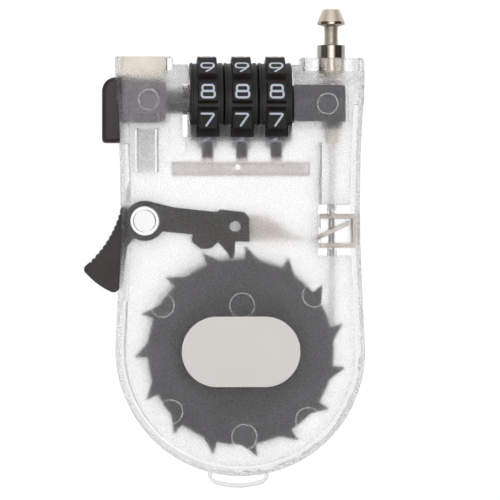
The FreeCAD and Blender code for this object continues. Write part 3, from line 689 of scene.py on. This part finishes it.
def rounded_line(corners, radius, closed=False, steps=6):
    """The points of a line through corners, with each corner rounded to an arc."""
    count = len(corners)
    points = []
    for number, corner in enumerate(corners):
        if not closed and number in (0, count - 1):
            points.append(Vector(corner))
            continue
        here = Vector(corner)
        before = Vector(corners[number - 1]) - here
        after = Vector(corners[(number + 1) % count]) - here
        half = before.angle(after) / 2
        reach = min(radius / math.tan(half), before.length / 2, after.length / 2)
        bend = reach * math.tan(half)
        inward = (before.normalized() + after.normalized()).normalized()
        heart = here + inward * bend / math.sin(half)
        first = here + before.normalized() * reach - heart
        turn = first.angle_signed(here + after.normalized() * reach - heart)
        for step in range(steps + 1):
            arm = first.copy()
            arm.rotate(Matrix.Rotation(-turn * step / steps, 2))
            points.append(heart + arm)
    return points


def digit_lines(digit):
    """A digit's strokes on a square from -0.5 to 0.5: corners, rounding, and closed or not."""
    lines = {
        0: [([(-0.42, -0.5), (0.42, -0.5), (0.42, 0.5), (-0.42, 0.5)], 0.34, True)],
        1: [([(-0.22, 0.3), (0.06, 0.5), (0.06, -0.5)], 0.02, False)],
        2: [([(-0.46, 0.3), (-0.4, 0.5), (0.45, 0.5), (0.45, 0.1), (-0.46, -0.5),
              (0.5, -0.5)], 0.2, False)],
        3: [([(-0.44, 0.5), (0.42, 0.5), (0.42, 0.04), (-0.1, 0.04)], 0.2, False),
            ([(-0.1, 0.04), (0.48, 0.04), (0.48, -0.5), (-0.48, -0.5)], 0.2, False)],
        4: [([(0.22, -0.5), (0.22, 0.5), (-0.5, -0.2), (0.5, -0.2)], 0.03, False)],
        5: [([(0.42, 0.5), (-0.38, 0.5), (-0.44, 0.1), (0.48, 0.1), (0.48, -0.5),
              (-0.48, -0.5)], 0.2, False)],
        6: [([(-0.48, -0.5), (0.48, -0.5), (0.48, 0.06), (-0.48, 0.06)], 0.22, True),
            ([(-0.48, -0.2), (-0.3, 0.15), (0.1, 0.5)], 0.2, False)],
        7: [([(-0.5, 0.5), (0.5, 0.5), (-0.12, -0.5)], 0.1, False)],
        8: [([(-0.44, 0.0), (0.44, 0.0), (0.44, 0.5), (-0.44, 0.5)], 0.2, True),
            ([(-0.5, -0.5), (0.5, -0.5), (0.5, 0.02), (-0.5, 0.02)], 0.2, True)],
        9: [([(-0.48, -0.06), (0.48, -0.06), (0.48, 0.5), (-0.48, 0.5)], 0.22, True),
            ([(0.48, 0.2), (0.3, -0.15), (-0.1, -0.5)], 0.2, False)],
    }
    return lines[digit]


def digit_mesh(digit):
    """One painted digit, lying flat about the origin with its top towards +Z."""
    want = sizes()
    stroke = want.digit_stroke / 2
    wide, high = want.digit_width - 2 * stroke, want.digit_height - 2 * stroke
    curve = bpy.data.curves.new("digit", "CURVE")
    curve.dimensions = "3D"
    curve.bevel_depth = stroke
    curve.bevel_resolution = 2
    curve.use_fill_caps = True
    for corners, radius, closed in digit_lines(digit):
        scaled = [(x * wide, y * high) for x, y in corners]
        points = rounded_line(scaled, radius * high, closed)
        widths = [1.0] * len(points)
        if not closed:
            points, widths = round_ends(points, widths, stroke)
        spline = curve.splines.new("POLY")
        spline.points.add(len(points) - 1)
        for target, point, width in zip(spline.points, points, widths):
            target.co = (point.x, point.y, 0, 1)
            target.radius = width
        spline.use_cyclic_u = closed
    holder = bpy.data.objects.new("digit", curve)
    mesh = bpy.data.meshes.new_from_object(holder)
    bpy.data.objects.remove(holder)
    bpy.data.curves.remove(curve)
    flat = want.digit_relief / stroke
    mesh.transform(Matrix.Diagonal((1, 1, flat, 1)))
    return mesh


def round_ends(points, widths, stroke):
    """Lengthens a stroke at both ends with narrowing points, for a round end."""
    shares = (0.5, 0.8, 0.97)
    start, end = (points[0] - points[1]).normalized(), (points[-1] - points[-2]).normalized()
    head = [points[0] + start * stroke * share for share in reversed(shares)]
    tail = [points[-1] + end * stroke * share for share in shares]
    narrow = [math.sqrt(1 - share * share) for share in shares]
    return head + points + tail, narrow[::-1] + widths + narrow


def dial_axis(dial):
    """The point in the middle of a dial, on its axis."""
    place = Vector(JOINTS[f"{dial}_turn"]["pos_m"])
    place.x = middle(dial).x
    return place


# Operators


class LOCK_OT_clear_case(bpy.types.Operator):
    """Weld the two halves of the clear case, frost their inside and satin their sides"""

    bl_idname = "cable_lock.clear_case"
    bl_label = "Clear case"

    def execute(self, context):
        want = looks()
        colour, gloss, shine = want.case_colour, want.case_gloss, want.case_shine
        glossy = clear_plastic("clear_case", colour, gloss, bite=0.002, shine=shine)
        frosted = clear_plastic("frosted_case", colour, want.case_frost, bite=0.015, shine=0.6)
        satin = clear_plastic(
            "satin_case", want.side_colour, want.case_satin, bite=0.01, shine=shine
        )
        sparkled(frosted, want.case_spark)
        sparkled(satin, want.case_spark * 2)
        moulding_marks(frosted, gloss, sizes().mark_width, clearness=0.6)
        halves = welded_halves()
        rim = sizes().rim_width
        # Painted shade: the glossy face is tinted darker where the side walls stand behind it
        painted_rim_shade(glossy, half_widths(halves), rim, rim / 6, colour, want.rim_shade_colour)
        case = add_piece(
            "welded_case", halves, "case", glossy,
            ["front_shell", "rear_shell"], crease=47,
        )
        case.data.materials.append(frosted)
        case.data.materials.append(satin)
        return {"FINISHED"}


def welded_halves():
    """Both halves of the case as one body: gloss in front and behind, frost inside, satin sides."""
    bm = bmesh.new()
    bm.from_mesh(NODES["front_shell"].data)
    bm.from_mesh(NODES["rear_shell"].data)
    bmesh.ops.remove_doubles(bm, verts=bm.verts, dist=SAME_CORNER)
    weld_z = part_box("front_shell")[0].z
    welded = [
        face for face in bm.faces if all(abs(vert.co.z - weld_z) < 1e-6 for vert in face.verts)
    ]
    bmesh.ops.delete(bm, geom=welded, context="FACES_ONLY")
    loose = [edge for edge in bm.edges if not edge.link_faces]
    bmesh.ops.delete(bm, geom=loose, context="EDGES")
    stitched(bm, WELD_REACH)
    tree = BVHTree.FromBMesh(bm)
    # A face that looks at nothing is outside
    for face in bm.faces:
        start = face.calc_center_median() + face.normal * 0.01 * MM
        outside = tree.ray_cast(start, face.normal)[0] is None
        face.material_index = (0 if abs(face.normal.z) > 0.9 else 2) if outside else 1
    return bm


def half_widths(bm):
    """Half the case's width at heights from the belly's middle up, measured on its right side."""
    tree = BVHTree.FromBMesh(bm)
    top, mid_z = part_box("front_shell")[1].y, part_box("front_shell")[0].z
    count = 12
    found = []
    # From the belly's middle to just below the top edge, a little in front of the parting plane
    for number in range(count + 1):
        height = top * 0.985 * number / count
        hit = tree.ray_cast(Vector((0.1, height, mid_z + 0.3 * MM)), -X)[0]
        found.append((height, hit.x))
    return found


def stitched(bm, reach):
    """Joins the open edges of two halves whose round edges are divided at different points."""
    edges = [edge for edge in bm.edges if edge.is_boundary]
    for vert in dict.fromkeys(vert for edge in edges for vert in edge.verts):
        for edge in edges:
            if vert in edge.verts:
                continue
            start, along = edge.verts[0], edge.verts[1].co - edge.verts[0].co
            share = (vert.co - start.co).dot(along) / along.length_squared
            if 0 < share < 1 and (start.co + along * share - vert.co).length < reach:
                added, cut = bmesh.utils.edge_split(edge, start, share)
                cut.co = vert.co
                edges.append(added)
                break
    bmesh.ops.remove_doubles(bm, verts=bm.verts, dist=SAME_CORNER)


class LOCK_OT_ferrules(bpy.types.Operator):
    """Finish the cream and the milky wear sleeves in the caps"""

    bl_idname = "cable_lock.ferrules"
    bl_label = "Wear sleeves"

    def execute(self, context):
        cream = moulded_plastic("cream_nylon", looks().cream_colour, 0.42, bite=0.006)
        milk = milky_nylon("milky_nylon", looks().sleeve_colour, 0.12, through=0.97, index=1.08)
        refine("socket_ferrule", cream, 0.08 * MM)
        refine("outlet_ferrule", milk, 0.08 * MM)
        return {"FINISHED"}


class LOCK_OT_dials(bpy.types.Operator):
    """Turn the dials with their number rings, and their code sleeves"""

    bl_idname = "cable_lock.dials"
    bl_label = "Dials"

    def execute(self, context):
        black = moulded_plastic("dial_black", looks().dial_colour, 0.42)
        brass = brushed_metal("code_brass", looks().brass_colour, 0.3, stretch=(8, 1, 1))
        for dial in DIALS:
            add_piece(f"{dial}_finished", dial_bmesh(dial), dial, black, [dial])
            refine(f"code_sleeve_{dial[-1]}", brass, 0.05 * MM)
        return {"FINISHED"}


def dial_bmesh(dial):
    """One dial: a turned hub with grooved rims and a ring of ten drafted number pads."""
    width = size(dial).x
    place = dial_axis(dial)
    left, right = -width / 2, width / 2
    floor_r = RIM_R - RIM_GROOVE
    profile = [
        (DIAL_BORE, left), (RIM_R - RIM_ROUND * 1.6, left),
        (RIM_R - RIM_ROUND / 3, left + RIM_ROUND / 3), (RIM_R, left + RIM_ROUND),
        (RIM_R, left + RIM_FLAT), (floor_r, left + RIM_FLAT + GROOVE_SLOPE),
        (floor_r, left + RING_LEFT + RING_WIDTH + RING_ROOM), (RIM_R, right - RIGHT_FLAT),
        (RIM_R, right - RIM_ROUND), (RIM_R - RIM_ROUND, right), (DIAL_BORE, right),
    ]
    bm = turned(profile, place, X, Z, steps=90, closed=True)
    ring = bmesh.new()
    loops = []
    for radii in ((RING_CORNER_R, floor_r), (RING_FOOT_R, RING_FOOT_R)):
        corners = []
        for number in range(PAD_COUNT):
            heart = REST_TURN + number * PAD_STEP
            for turn, reach in (
                (heart - PAD_FOOT_HALF, radii[1]), (heart - PAD_TOP_HALF, radii[0]),
                (heart + PAD_TOP_HALF, radii[0]), (heart + PAD_FOOT_HALF, radii[1]),
            ):
                corners.append(ring.verts.new(reach * (Z * math.cos(turn) + Y * math.sin(turn))))
        loops += [ring.edges.new(pair) for pair in zip(corners, corners[1:] + corners[:1])]
    strip = bmesh.ops.bridge_loops(ring, edges=loops)["faces"]
    moved = bmesh.ops.extrude_face_region(ring, geom=strip)["geom"]
    new = [item for item in moved if isinstance(item, bmesh.types.BMVert)]
    bmesh.ops.translate(ring, verts=new, vec=X * RING_WIDTH)
    bmesh.ops.recalc_face_normals(ring, faces=ring.faces)
    for vert in ring.verts:
        if math.hypot(vert.co.y, vert.co.z) > (RING_CORNER_R + RIM_R) / 2:
            vert.co.x += RING_DRAFT if vert.co.x < RING_WIDTH / 2 else -RING_DRAFT
    eased(ring, RING_ROUND, limit=20)
    bmesh.ops.translate(ring, verts=ring.verts, vec=place + X * (left + RING_LEFT))
    join(bm, ring)
    return bm


class LOCK_OT_digits(bpy.types.Operator):
    """Paint the numbers on the dials"""

    bl_idname = "cable_lock.digits"
    bl_label = "Numbers"

    def execute(self, context):
        paint = number_paint("digit_paint", looks().digit_colour)
        face_r = RING_CORNER_R * math.cos(PAD_TOP_HALF)
        meshes = [digit_mesh(digit) for digit in range(PAD_COUNT)]
        for dial in DIALS:
            bm = bmesh.new()
            place = dial_axis(dial)
            place.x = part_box(dial)[0].x + RING_LEFT + RING_WIDTH / 2
            for digit, mesh in enumerate(meshes):
                turn = REST_TURN + (digit - REST_DIGIT) * PAD_STEP
                copy = mesh.copy()
                copy.transform(
                    Matrix.Translation(place) @ Matrix.Rotation(-turn, 4, "X")
                    @ Matrix.Translation(Z * face_r)
                )
                bm.from_mesh(copy)
                bpy.data.meshes.remove(copy)
            add_piece(f"{dial}_digits", bm, dial, paint)
        for mesh in meshes:
            bpy.data.meshes.remove(mesh)
        return {"FINISHED"}


class LOCK_OT_latch(bpy.types.Operator):
    """Finish the side button, the latch slider, the spindle and the end block"""

    bl_idname = "cable_lock.latch"
    bl_label = "Button and latch"

    def execute(self, context):
        shell = moulded_plastic("button_black", looks().button_colour, 0.36)
        nylon = moulded_plastic("latch_black", looks().wheel_colour, 0.5)
        slider = moulded_plastic("slider_grey", shade(looks().wheel_colour, 2.0), 0.5)
        refine("release_button", shell, 0.22 * MM, limit=30, segments=3)
        refine("latch_slider", slider, 0.1 * MM)
        refine("spindle", nylon, 0.08 * MM)
        refine("end_block", nylon, 0.12 * MM)
        return {"FINISHED"}


class LOCK_OT_bolt(bpy.types.Operator):
    """Turn the nickel bolt on the cable's end"""

    bl_idname = "cable_lock.bolt"
    bl_label = "End bolt"

    def execute(self, context):
        # Lit and shaded copies of one nickel: painted highlight on the head, painted shade on the collar
        head, neck, collar = (
            brushed_metal(name, shade(looks().bolt_colour, tone), roughness, stretch=(1, 14, 1))
            for name, tone, roughness in BOLT_FINISH_AND_LIGHT
        )
        top = Vector((middle("cable_bolt").x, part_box("cable_bolt")[1].y, middle("cable_bolt").z))
        profile = [(reach * MM, height * MM) for reach, height in BOLT_PROFILE]
        bm = turned(profile, top, Y, X, steps=96)
        for face in bm.faces:
            depth = top.y - face.calc_center_median().y
            on_neck = NECK_START < depth < NECK_END
            face.material_index = 0 if depth < HEAD_DEPTH else 1 if on_neck else 2
        bolt = add_piece(
            "cable_bolt_turned", bm, "bolt", head, ["cable_bolt"], crease=24
        )
        bolt.data.materials.append(neck)
        bolt.data.materials.append(collar)
        return {"FINISHED"}


class LOCK_OT_cable(bpy.types.Operator):
    """Wind the steel cable on the drum and run its twisted strands up to the bolt"""

    bl_idname = "cable_lock.cable"
    bl_label = "Cable"

    def execute(self, context):
        steel = brushed_metal("cable_steel", looks().cable_colour, 0.4)
        low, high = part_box("cable_run")
        radius = (high.x - low.x) / 2
        strands = sizes().cable_strands
        share = math.sin(math.pi / strands)
        wire = radius * share / (1 + share)
        foot = Vector((middle("cable_run").x, low.y, middle("cable_run").z))
        length = high.y - low.y
        run = bmesh.new()
        for number in range(strands):
            turn = Matrix.Rotation(math.tau * number / strands, 3, "Y")
            join(run, wound(
                radius - wire, wire, foot, Y, turn @ X, length / sizes().cable_lay, length,
                steps=24, sides=8,
            ))
        slot, round_wire = "cable_steel", 60
        piece = add_piece("cable_strands", run, None, steel, ["cable_run"], round_wire)
        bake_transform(piece)
        add_piece("cable_turns", cable_turns(), "reel", steel, ["cable_coil"], round_wire)
        return {"FINISHED"}


def join(bm, other):
    """Adds another bmesh to a bmesh, and frees it."""
    holder = bpy.data.meshes.new("holder")
    other.to_mesh(holder)
    other.free()
    bm.from_mesh(holder)
    bpy.data.meshes.remove(holder)


def cable_turns():
    """The cable on the drum: an outer layer that leaves the run's lane free, and one below it."""
    low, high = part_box("cable_coil")
    wire = size("cable_run").x / 2
    outer = high.x - wire
    run_z = middle("cable_run").z
    lane = (run_z - wire - low.z) / 3
    inner = outer - lane
    bm = bmesh.new()
    # Each stretch starts so many lanes from the run, and climbs so many in its turns
    for radius, level, turns, rise in ((outer, -3, 2, 2), (outer, 1, 1, 0), (inner, -3, 4, 4)):
        start = Z * (run_z + level * lane)
        join(bm, wound(radius, wire, start, Z, X, turns, rise * lane, steps=90, sides=10))
    return bm


class LOCK_OT_springs(bpy.types.Operator):
    """Wind the small springs from round wire and finish the detent's leaf"""

    bl_idname = "cable_lock.springs"
    bl_label = "Springs"

    def execute(self, context):
        steel = brushed_metal("spring_steel", looks().steel_colour, 0.3)
        for node, axis, turns, joint in (
            ("eject_spring", Y, 4.5, "eject_push"), ("button_spring", X, 2, "button_push"),
            ("lever_spring", Z, 2, None),
        ):
            bm = spring(node, axis, turns)
            piece = add_piece(f"{node}_wound", bm, "case", steel, [node], crease=60)
            if joint:
                length = abs(size(node).dot(axis))
                fixed = middle(node)
                fixed += axis * (length / 2 if joint == "button_push" else -length / 2)
                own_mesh(piece)
        leaf = brushed_metal("leaf_steel", looks().leaf_colour, 0.5, stretch=(6, 1, 1))
        # Painted shade on the leaf's bent fingers
        painted_shade_along_y(leaf, *FINGER_SHADE_Y, share=0.12)
        dress("detent_spring", leaf)
        return {"FINISHED"}


def shaded_by(made, share):
    """Multiplies a finish's colour by a number from the nodes."""
    tree = made.node_tree
    base = tree.nodes["Principled BSDF"].inputs["Base Color"]
    mix = tree.nodes.new("ShaderNodeVectorMath")
    mix.operation = "SCALE"
    tree.links.new(base.links[0].from_socket, mix.inputs[0])
    tree.links.new(share, mix.inputs["Scale"])
    tree.links.new(mix.outputs["Vector"], base)


def painted_shade_along_y(made, start, end, share):
    """Paints shade on a metal from one place on Y to another, down to a share of its colour."""
    tree = made.node_tree
    _, up, _ = parted(tree, own_place(tree))
    shaded_by(made, ramped(tree, up, start, end, 1, share))


def painted_web_shade(made, start, end, share):
    """Paints shade on a wheel's hollow web, which ends between two distances from its axis."""
    tree = made.node_tree
    shaded_by(made, ramped(tree, from_marks(tree, [(0, 0, 0)]), start, end, share, 1))


def spring(node, axis, turns):
    """A spring of round wire that fills the box of its node."""
    low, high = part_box(node)
    side = Y.cross(axis) if abs(axis.y) < 0.5 else X
    across = [abs((high - low).dot(way)) for way in (X, Y, Z) if abs(way.dot(axis)) < 0.5]
    radius = min(across) / 2 - SPRING_WIRE
    length = abs((high - low).dot(axis)) - 2 * SPRING_WIRE
    start = (low + high) / 2 - axis * length / 2
    return wound(radius, SPRING_WIRE, start, axis, side, turns, length, steps=36, sides=10)


class LOCK_OT_reel(bpy.types.Operator):
    """Finish the ratchet wheel, the drum, its drive spring and the bolt's plunger"""

    bl_idname = "cable_lock.reel"
    bl_label = "Reel"

    def execute(self, context):
        nylon = moulded_plastic("wheel_black", looks().wheel_colour, 0.5)
        # Painted shade in the wheel's hollow web
        painted_web_shade(nylon, *WEB_SHADE_END, share=0.72)
        milk = milky_nylon("drum_nylon", looks().milk_colour, 0.4, through=0.15)
        strip = brushed_metal("drive_steel", looks().steel_colour, 0.3, stretch=(1, 1, 8))
        clear = milky_nylon("plunger_nylon", looks().plunger_colour, 0.3, through=0.93, index=1.15)
        refine("ratchet_wheel", nylon, 0.12 * MM)
        dress("cable_drum", milk)
        dress("drive_spring", strip)
        dress("eject_plunger", clear)
        return {"FINISHED"}


class LOCK_OT_lever(bpy.types.Operator):
    """Finish the thumb lever, its steel tongue and its rivet"""

    bl_idname = "cable_lock.lever"
    bl_label = "Thumb lever"

    def execute(self, context):
        black = moulded_plastic("lever_black", shade(looks().dial_colour, 2.3), 0.46)
        tone = shade(looks().steel_colour, 0.85)
        steel = brushed_metal("tongue_steel", tone, 0.35, stretch=(1, 6, 1))
        rivet = brushed_metal("rivet_steel", shade(looks().cable_colour, 0.37), 0.3)
        refine("thumb_lever", black, 0.14 * MM)
        refine("release_tongue", steel, 0.06 * MM)
        refine("tongue_rivet", rivet, 0.06 * MM)
        return {"FINISHED"}


class LOCK_OT_clamp(bpy.types.Operator):
    """Finish the folded clamp bracket and its blade"""

    bl_idname = "cable_lock.clamp"
    bl_label = "Cable clamp"

    def execute(self, context):
        tone = shade(looks().steel_colour, 0.9)
        steel = brushed_metal("clamp_steel", tone, 0.45, stretch=(1, 1, 8))
        refine("clamp_bracket", steel, 0.08 * MM)
        refine("clamp_blade", steel, 0.08 * MM)
        return {"FINISHED"}


class LOCK_OT_name_plate(bpy.types.Operator):
    """Blast the bare name plate"""

    bl_idname = "cable_lock.name_plate"
    bl_label = "Name plate"

    def execute(self, context):
        satin = satin_sheet("satin_plate", looks().plate_colour, 0.45)
        refine("label_plate", satin, 0.1 * MM, limit=30, segments=3)
        return {"FINISHED"}


class LOCK_OT_stage(bpy.types.Operator):
    """Set the white floor, the soft lights and the camera"""

    bl_idname = "cable_lock.stage"
    bl_label = "Stage"

    def execute(self, context):
        add_world()
        add_floor()
        add_lamps()
        add_card("left_card", -0.12)
        add_card("right_card", 0.12)
        add_camera()
        context.scene.view_settings.view_transform = "Standard"
        return {"FINISHED"}


def for_rays(tree, *kinds):
    """1 for rays of these kinds, and 0 for all others."""
    path = tree.nodes.new("ShaderNodeLightPath")
    total = 0.0
    for kind in kinds:
        total = sum_of(tree, "MAXIMUM", total, path.outputs[f"Is {kind} Ray"])
    return total


def add_world():
    """A room of even light that the camera, gloss and glass see as white."""
    world = bpy.data.worlds.new("studio")
    world.use_nodes = True
    tree = world.node_tree
    room = tree.nodes["Background"]
    room.inputs["Color"].default_value = (1, 1, 1, 1)
    room.inputs["Strength"].default_value = ROOM_LIGHT
    white = tree.nodes.new("ShaderNodeBackground")
    white.inputs["Color"].default_value = (1, 1, 1, 1)
    choose = tree.nodes.new("ShaderNodeMixShader")
    tree.links.new(for_rays(tree, "Camera", "Glossy", "Transmission"), choose.inputs["Fac"])
    tree.links.new(room.outputs["Background"], choose.inputs[1])
    tree.links.new(white.outputs["Background"], choose.inputs[2])
    tree.links.new(choose.outputs["Shader"], tree.nodes["World Output"].inputs["Surface"])
    bpy.context.scene.world = world


def add_floor():
    """A white floor that keeps the lock's shadow, and that gloss and glass see as plain white."""
    made = bpy.data.materials.new("white_floor")
    made.use_nodes = True
    tree = made.node_tree
    tree.nodes.remove(tree.nodes["Principled BSDF"])
    matt = tree.nodes.new("ShaderNodeBsdfDiffuse")
    matt.inputs["Color"].default_value = (FLOOR_GREY, FLOOR_GREY, FLOOR_GREY, 1)
    glow = tree.nodes.new("ShaderNodeEmission")
    glow.inputs["Strength"].default_value = FLOOR_GLOW
    both = tree.nodes.new("ShaderNodeAddShader")
    tree.links.new(matt.outputs["BSDF"], both.inputs[0])
    tree.links.new(glow.outputs["Emission"], both.inputs[1])
    white = tree.nodes.new("ShaderNodeEmission")
    choose = tree.nodes.new("ShaderNodeMixShader")
    tree.links.new(for_rays(tree, "Glossy", "Transmission"), choose.inputs["Fac"])
    tree.links.new(both.outputs["Shader"], choose.inputs[1])
    tree.links.new(white.outputs["Emission"], choose.inputs[2])
    tree.links.new(choose.outputs["Shader"], tree.nodes["Material Output"].inputs["Surface"])
    stage_sheet("floor", made, (1.5, 1.5), Matrix.Translation((0, 0, CAD_BOX[0][2] - 0.02 * MM)))


def stage_sheet(name, finish, half_sizes, place):
    """A flat sheet of the stage, brought to its place."""
    bm = bmesh.new()
    shape = place @ Matrix.Diagonal((*half_sizes, 1, 1))
    bmesh.ops.create_grid(bm, x_segments=8, y_segments=8, size=1, matrix=shape)
    mesh = bpy.data.meshes.new(name)
    bm.to_mesh(mesh)
    bm.free()
    mesh.materials.append(finish)
    sheet = bpy.data.objects.new(name, mesh)
    bpy.context.scene.collection.objects.link(sheet)
    return sheet


def add_lamp(name, place, target, extent, power):
    """A soft square lamp that looks at the target."""
    light = bpy.data.lights.new(name, "AREA")
    light.shape = "SQUARE"
    light.size = extent
    light.energy = power
    lamp = bpy.data.objects.new(name, light)
    lamp.location = place
    lamp.rotation_euler = (Vector(target) - Vector(place)).to_track_quat("-Z", "Y").to_euler()
    bpy.context.scene.collection.objects.link(lamp)


def add_lamps():
    """A large lamp overhead and a weaker one on each side."""
    heart = (0, 0.02, 0)
    add_lamp("overhead", (0.02, 0.1, 0.62), heart, 0.34, 0.8)
    add_lamp("left_fill", (-0.55, 0.1, 0.3), heart, 0.3, 0.4)
    add_lamp("right_fill", (0.55, 0.05, 0.3), heart, 0.3, 0.35)


def add_card(name, x):
    """A dark card beside the lock, which only polished parts outside the clear case see."""
    made, shader = new_finish(name, (0.04, 0.035, 0.03), 0.9)
    tree = made.node_tree
    path = tree.nodes.new("ShaderNodeLightPath")
    gone = tree.nodes.new("ShaderNodeBsdfTransparent")
    choose = tree.nodes.new("ShaderNodeMixShader")
    tree.links.new(path.outputs["Transmission Depth"], choose.inputs["Fac"])
    tree.links.new(shader.outputs["BSDF"], choose.inputs[1])
    tree.links.new(gone.outputs["BSDF"], choose.inputs[2])
    tree.links.new(choose.outputs["Shader"], tree.nodes["Material Output"].inputs["Surface"])
    upright = Matrix.Rotation(math.pi / 2, 4, "Y")
    card = stage_sheet(name, made, (0.11, 0.2), Matrix.Translation((x, 0.04, 0.11)) @ upright)
    card.visible_camera = False
    card.visible_diffuse = False
    card.visible_transmission = False
    card.visible_shadow = False


def add_camera():
    """The camera: 720 mm above the lock and slightly to its left."""
    heart = Vector((1.8 * MM, 17.1 * MM, 6.8 * MM))
    away, lean = 720 * MM, math.radians(2.7)
    camera = bpy.data.cameras.new("camera")
    camera.lens = 306
    camera.sensor_width = 36
    camera.clip_end = 20
    holder = bpy.data.objects.new("camera", camera)
    holder.location = heart + away * Vector((-math.sin(lean), 0, math.cos(lean)))
    holder.rotation_euler = (0, -lean, 0)
    bpy.context.scene.collection.objects.link(holder)
    bpy.context.scene.camera = holder


class LOCK_PT_cable_lock(bpy.types.Panel):
    """Lists what the lock's finish is made of"""

    bl_label = "Cable Lock"
    bl_idname = "LOCK_PT_cable_lock"
    bl_space_type = "VIEW_3D"
    bl_region_type = "UI"
    bl_category = "Cable Lock"

    def draw(self, context):
        for step in STEPS:
            self.layout.operator(step.bl_idname, text=step.bl_label)
        for group in (context.scene.lock_looks, context.scene.lock_sizes):
            box = self.layout.box()
            for name in group.__annotations__:
                box.prop(group, name)


STEPS = (
    LOCK_OT_clear_case,
    LOCK_OT_ferrules,
    LOCK_OT_dials,
    LOCK_OT_digits,
    LOCK_OT_latch,
    LOCK_OT_bolt,
    LOCK_OT_cable,
    LOCK_OT_springs,
    LOCK_OT_reel,
    LOCK_OT_lever,
    LOCK_OT_clamp,
    LOCK_OT_name_plate,
    LOCK_OT_stage,
)
GROUPS = (LockLooks, LockSizes)


def register():
    for item in GROUPS + STEPS + (LOCK_PT_cable_lock,):
        bpy.utils.register_class(item)
    bpy.types.Scene.lock_looks = PointerProperty(type=LockLooks)
    bpy.types.Scene.lock_sizes = PointerProperty(type=LockSizes)


def unregister():
    del bpy.types.Scene.lock_sizes
    del bpy.types.Scene.lock_looks
    for item in reversed(GROUPS + STEPS + (LOCK_PT_cable_lock,)):
        bpy.utils.unregister_class(item)


def main():
    register()
    bpy.ops.cable_lock.clear_case()
    bpy.ops.cable_lock.ferrules()
    bpy.ops.cable_lock.dials()
    bpy.ops.cable_lock.digits()
    bpy.ops.cable_lock.latch()
    bpy.ops.cable_lock.bolt()
    bpy.ops.cable_lock.cable()
    bpy.ops.cable_lock.springs()
    bpy.ops.cable_lock.reel()
    bpy.ops.cable_lock.lever()
    bpy.ops.cable_lock.clamp()
    bpy.ops.cable_lock.name_plate()
    bpy.ops.cable_lock.stage()


if __name__ == "__main__":
    main()
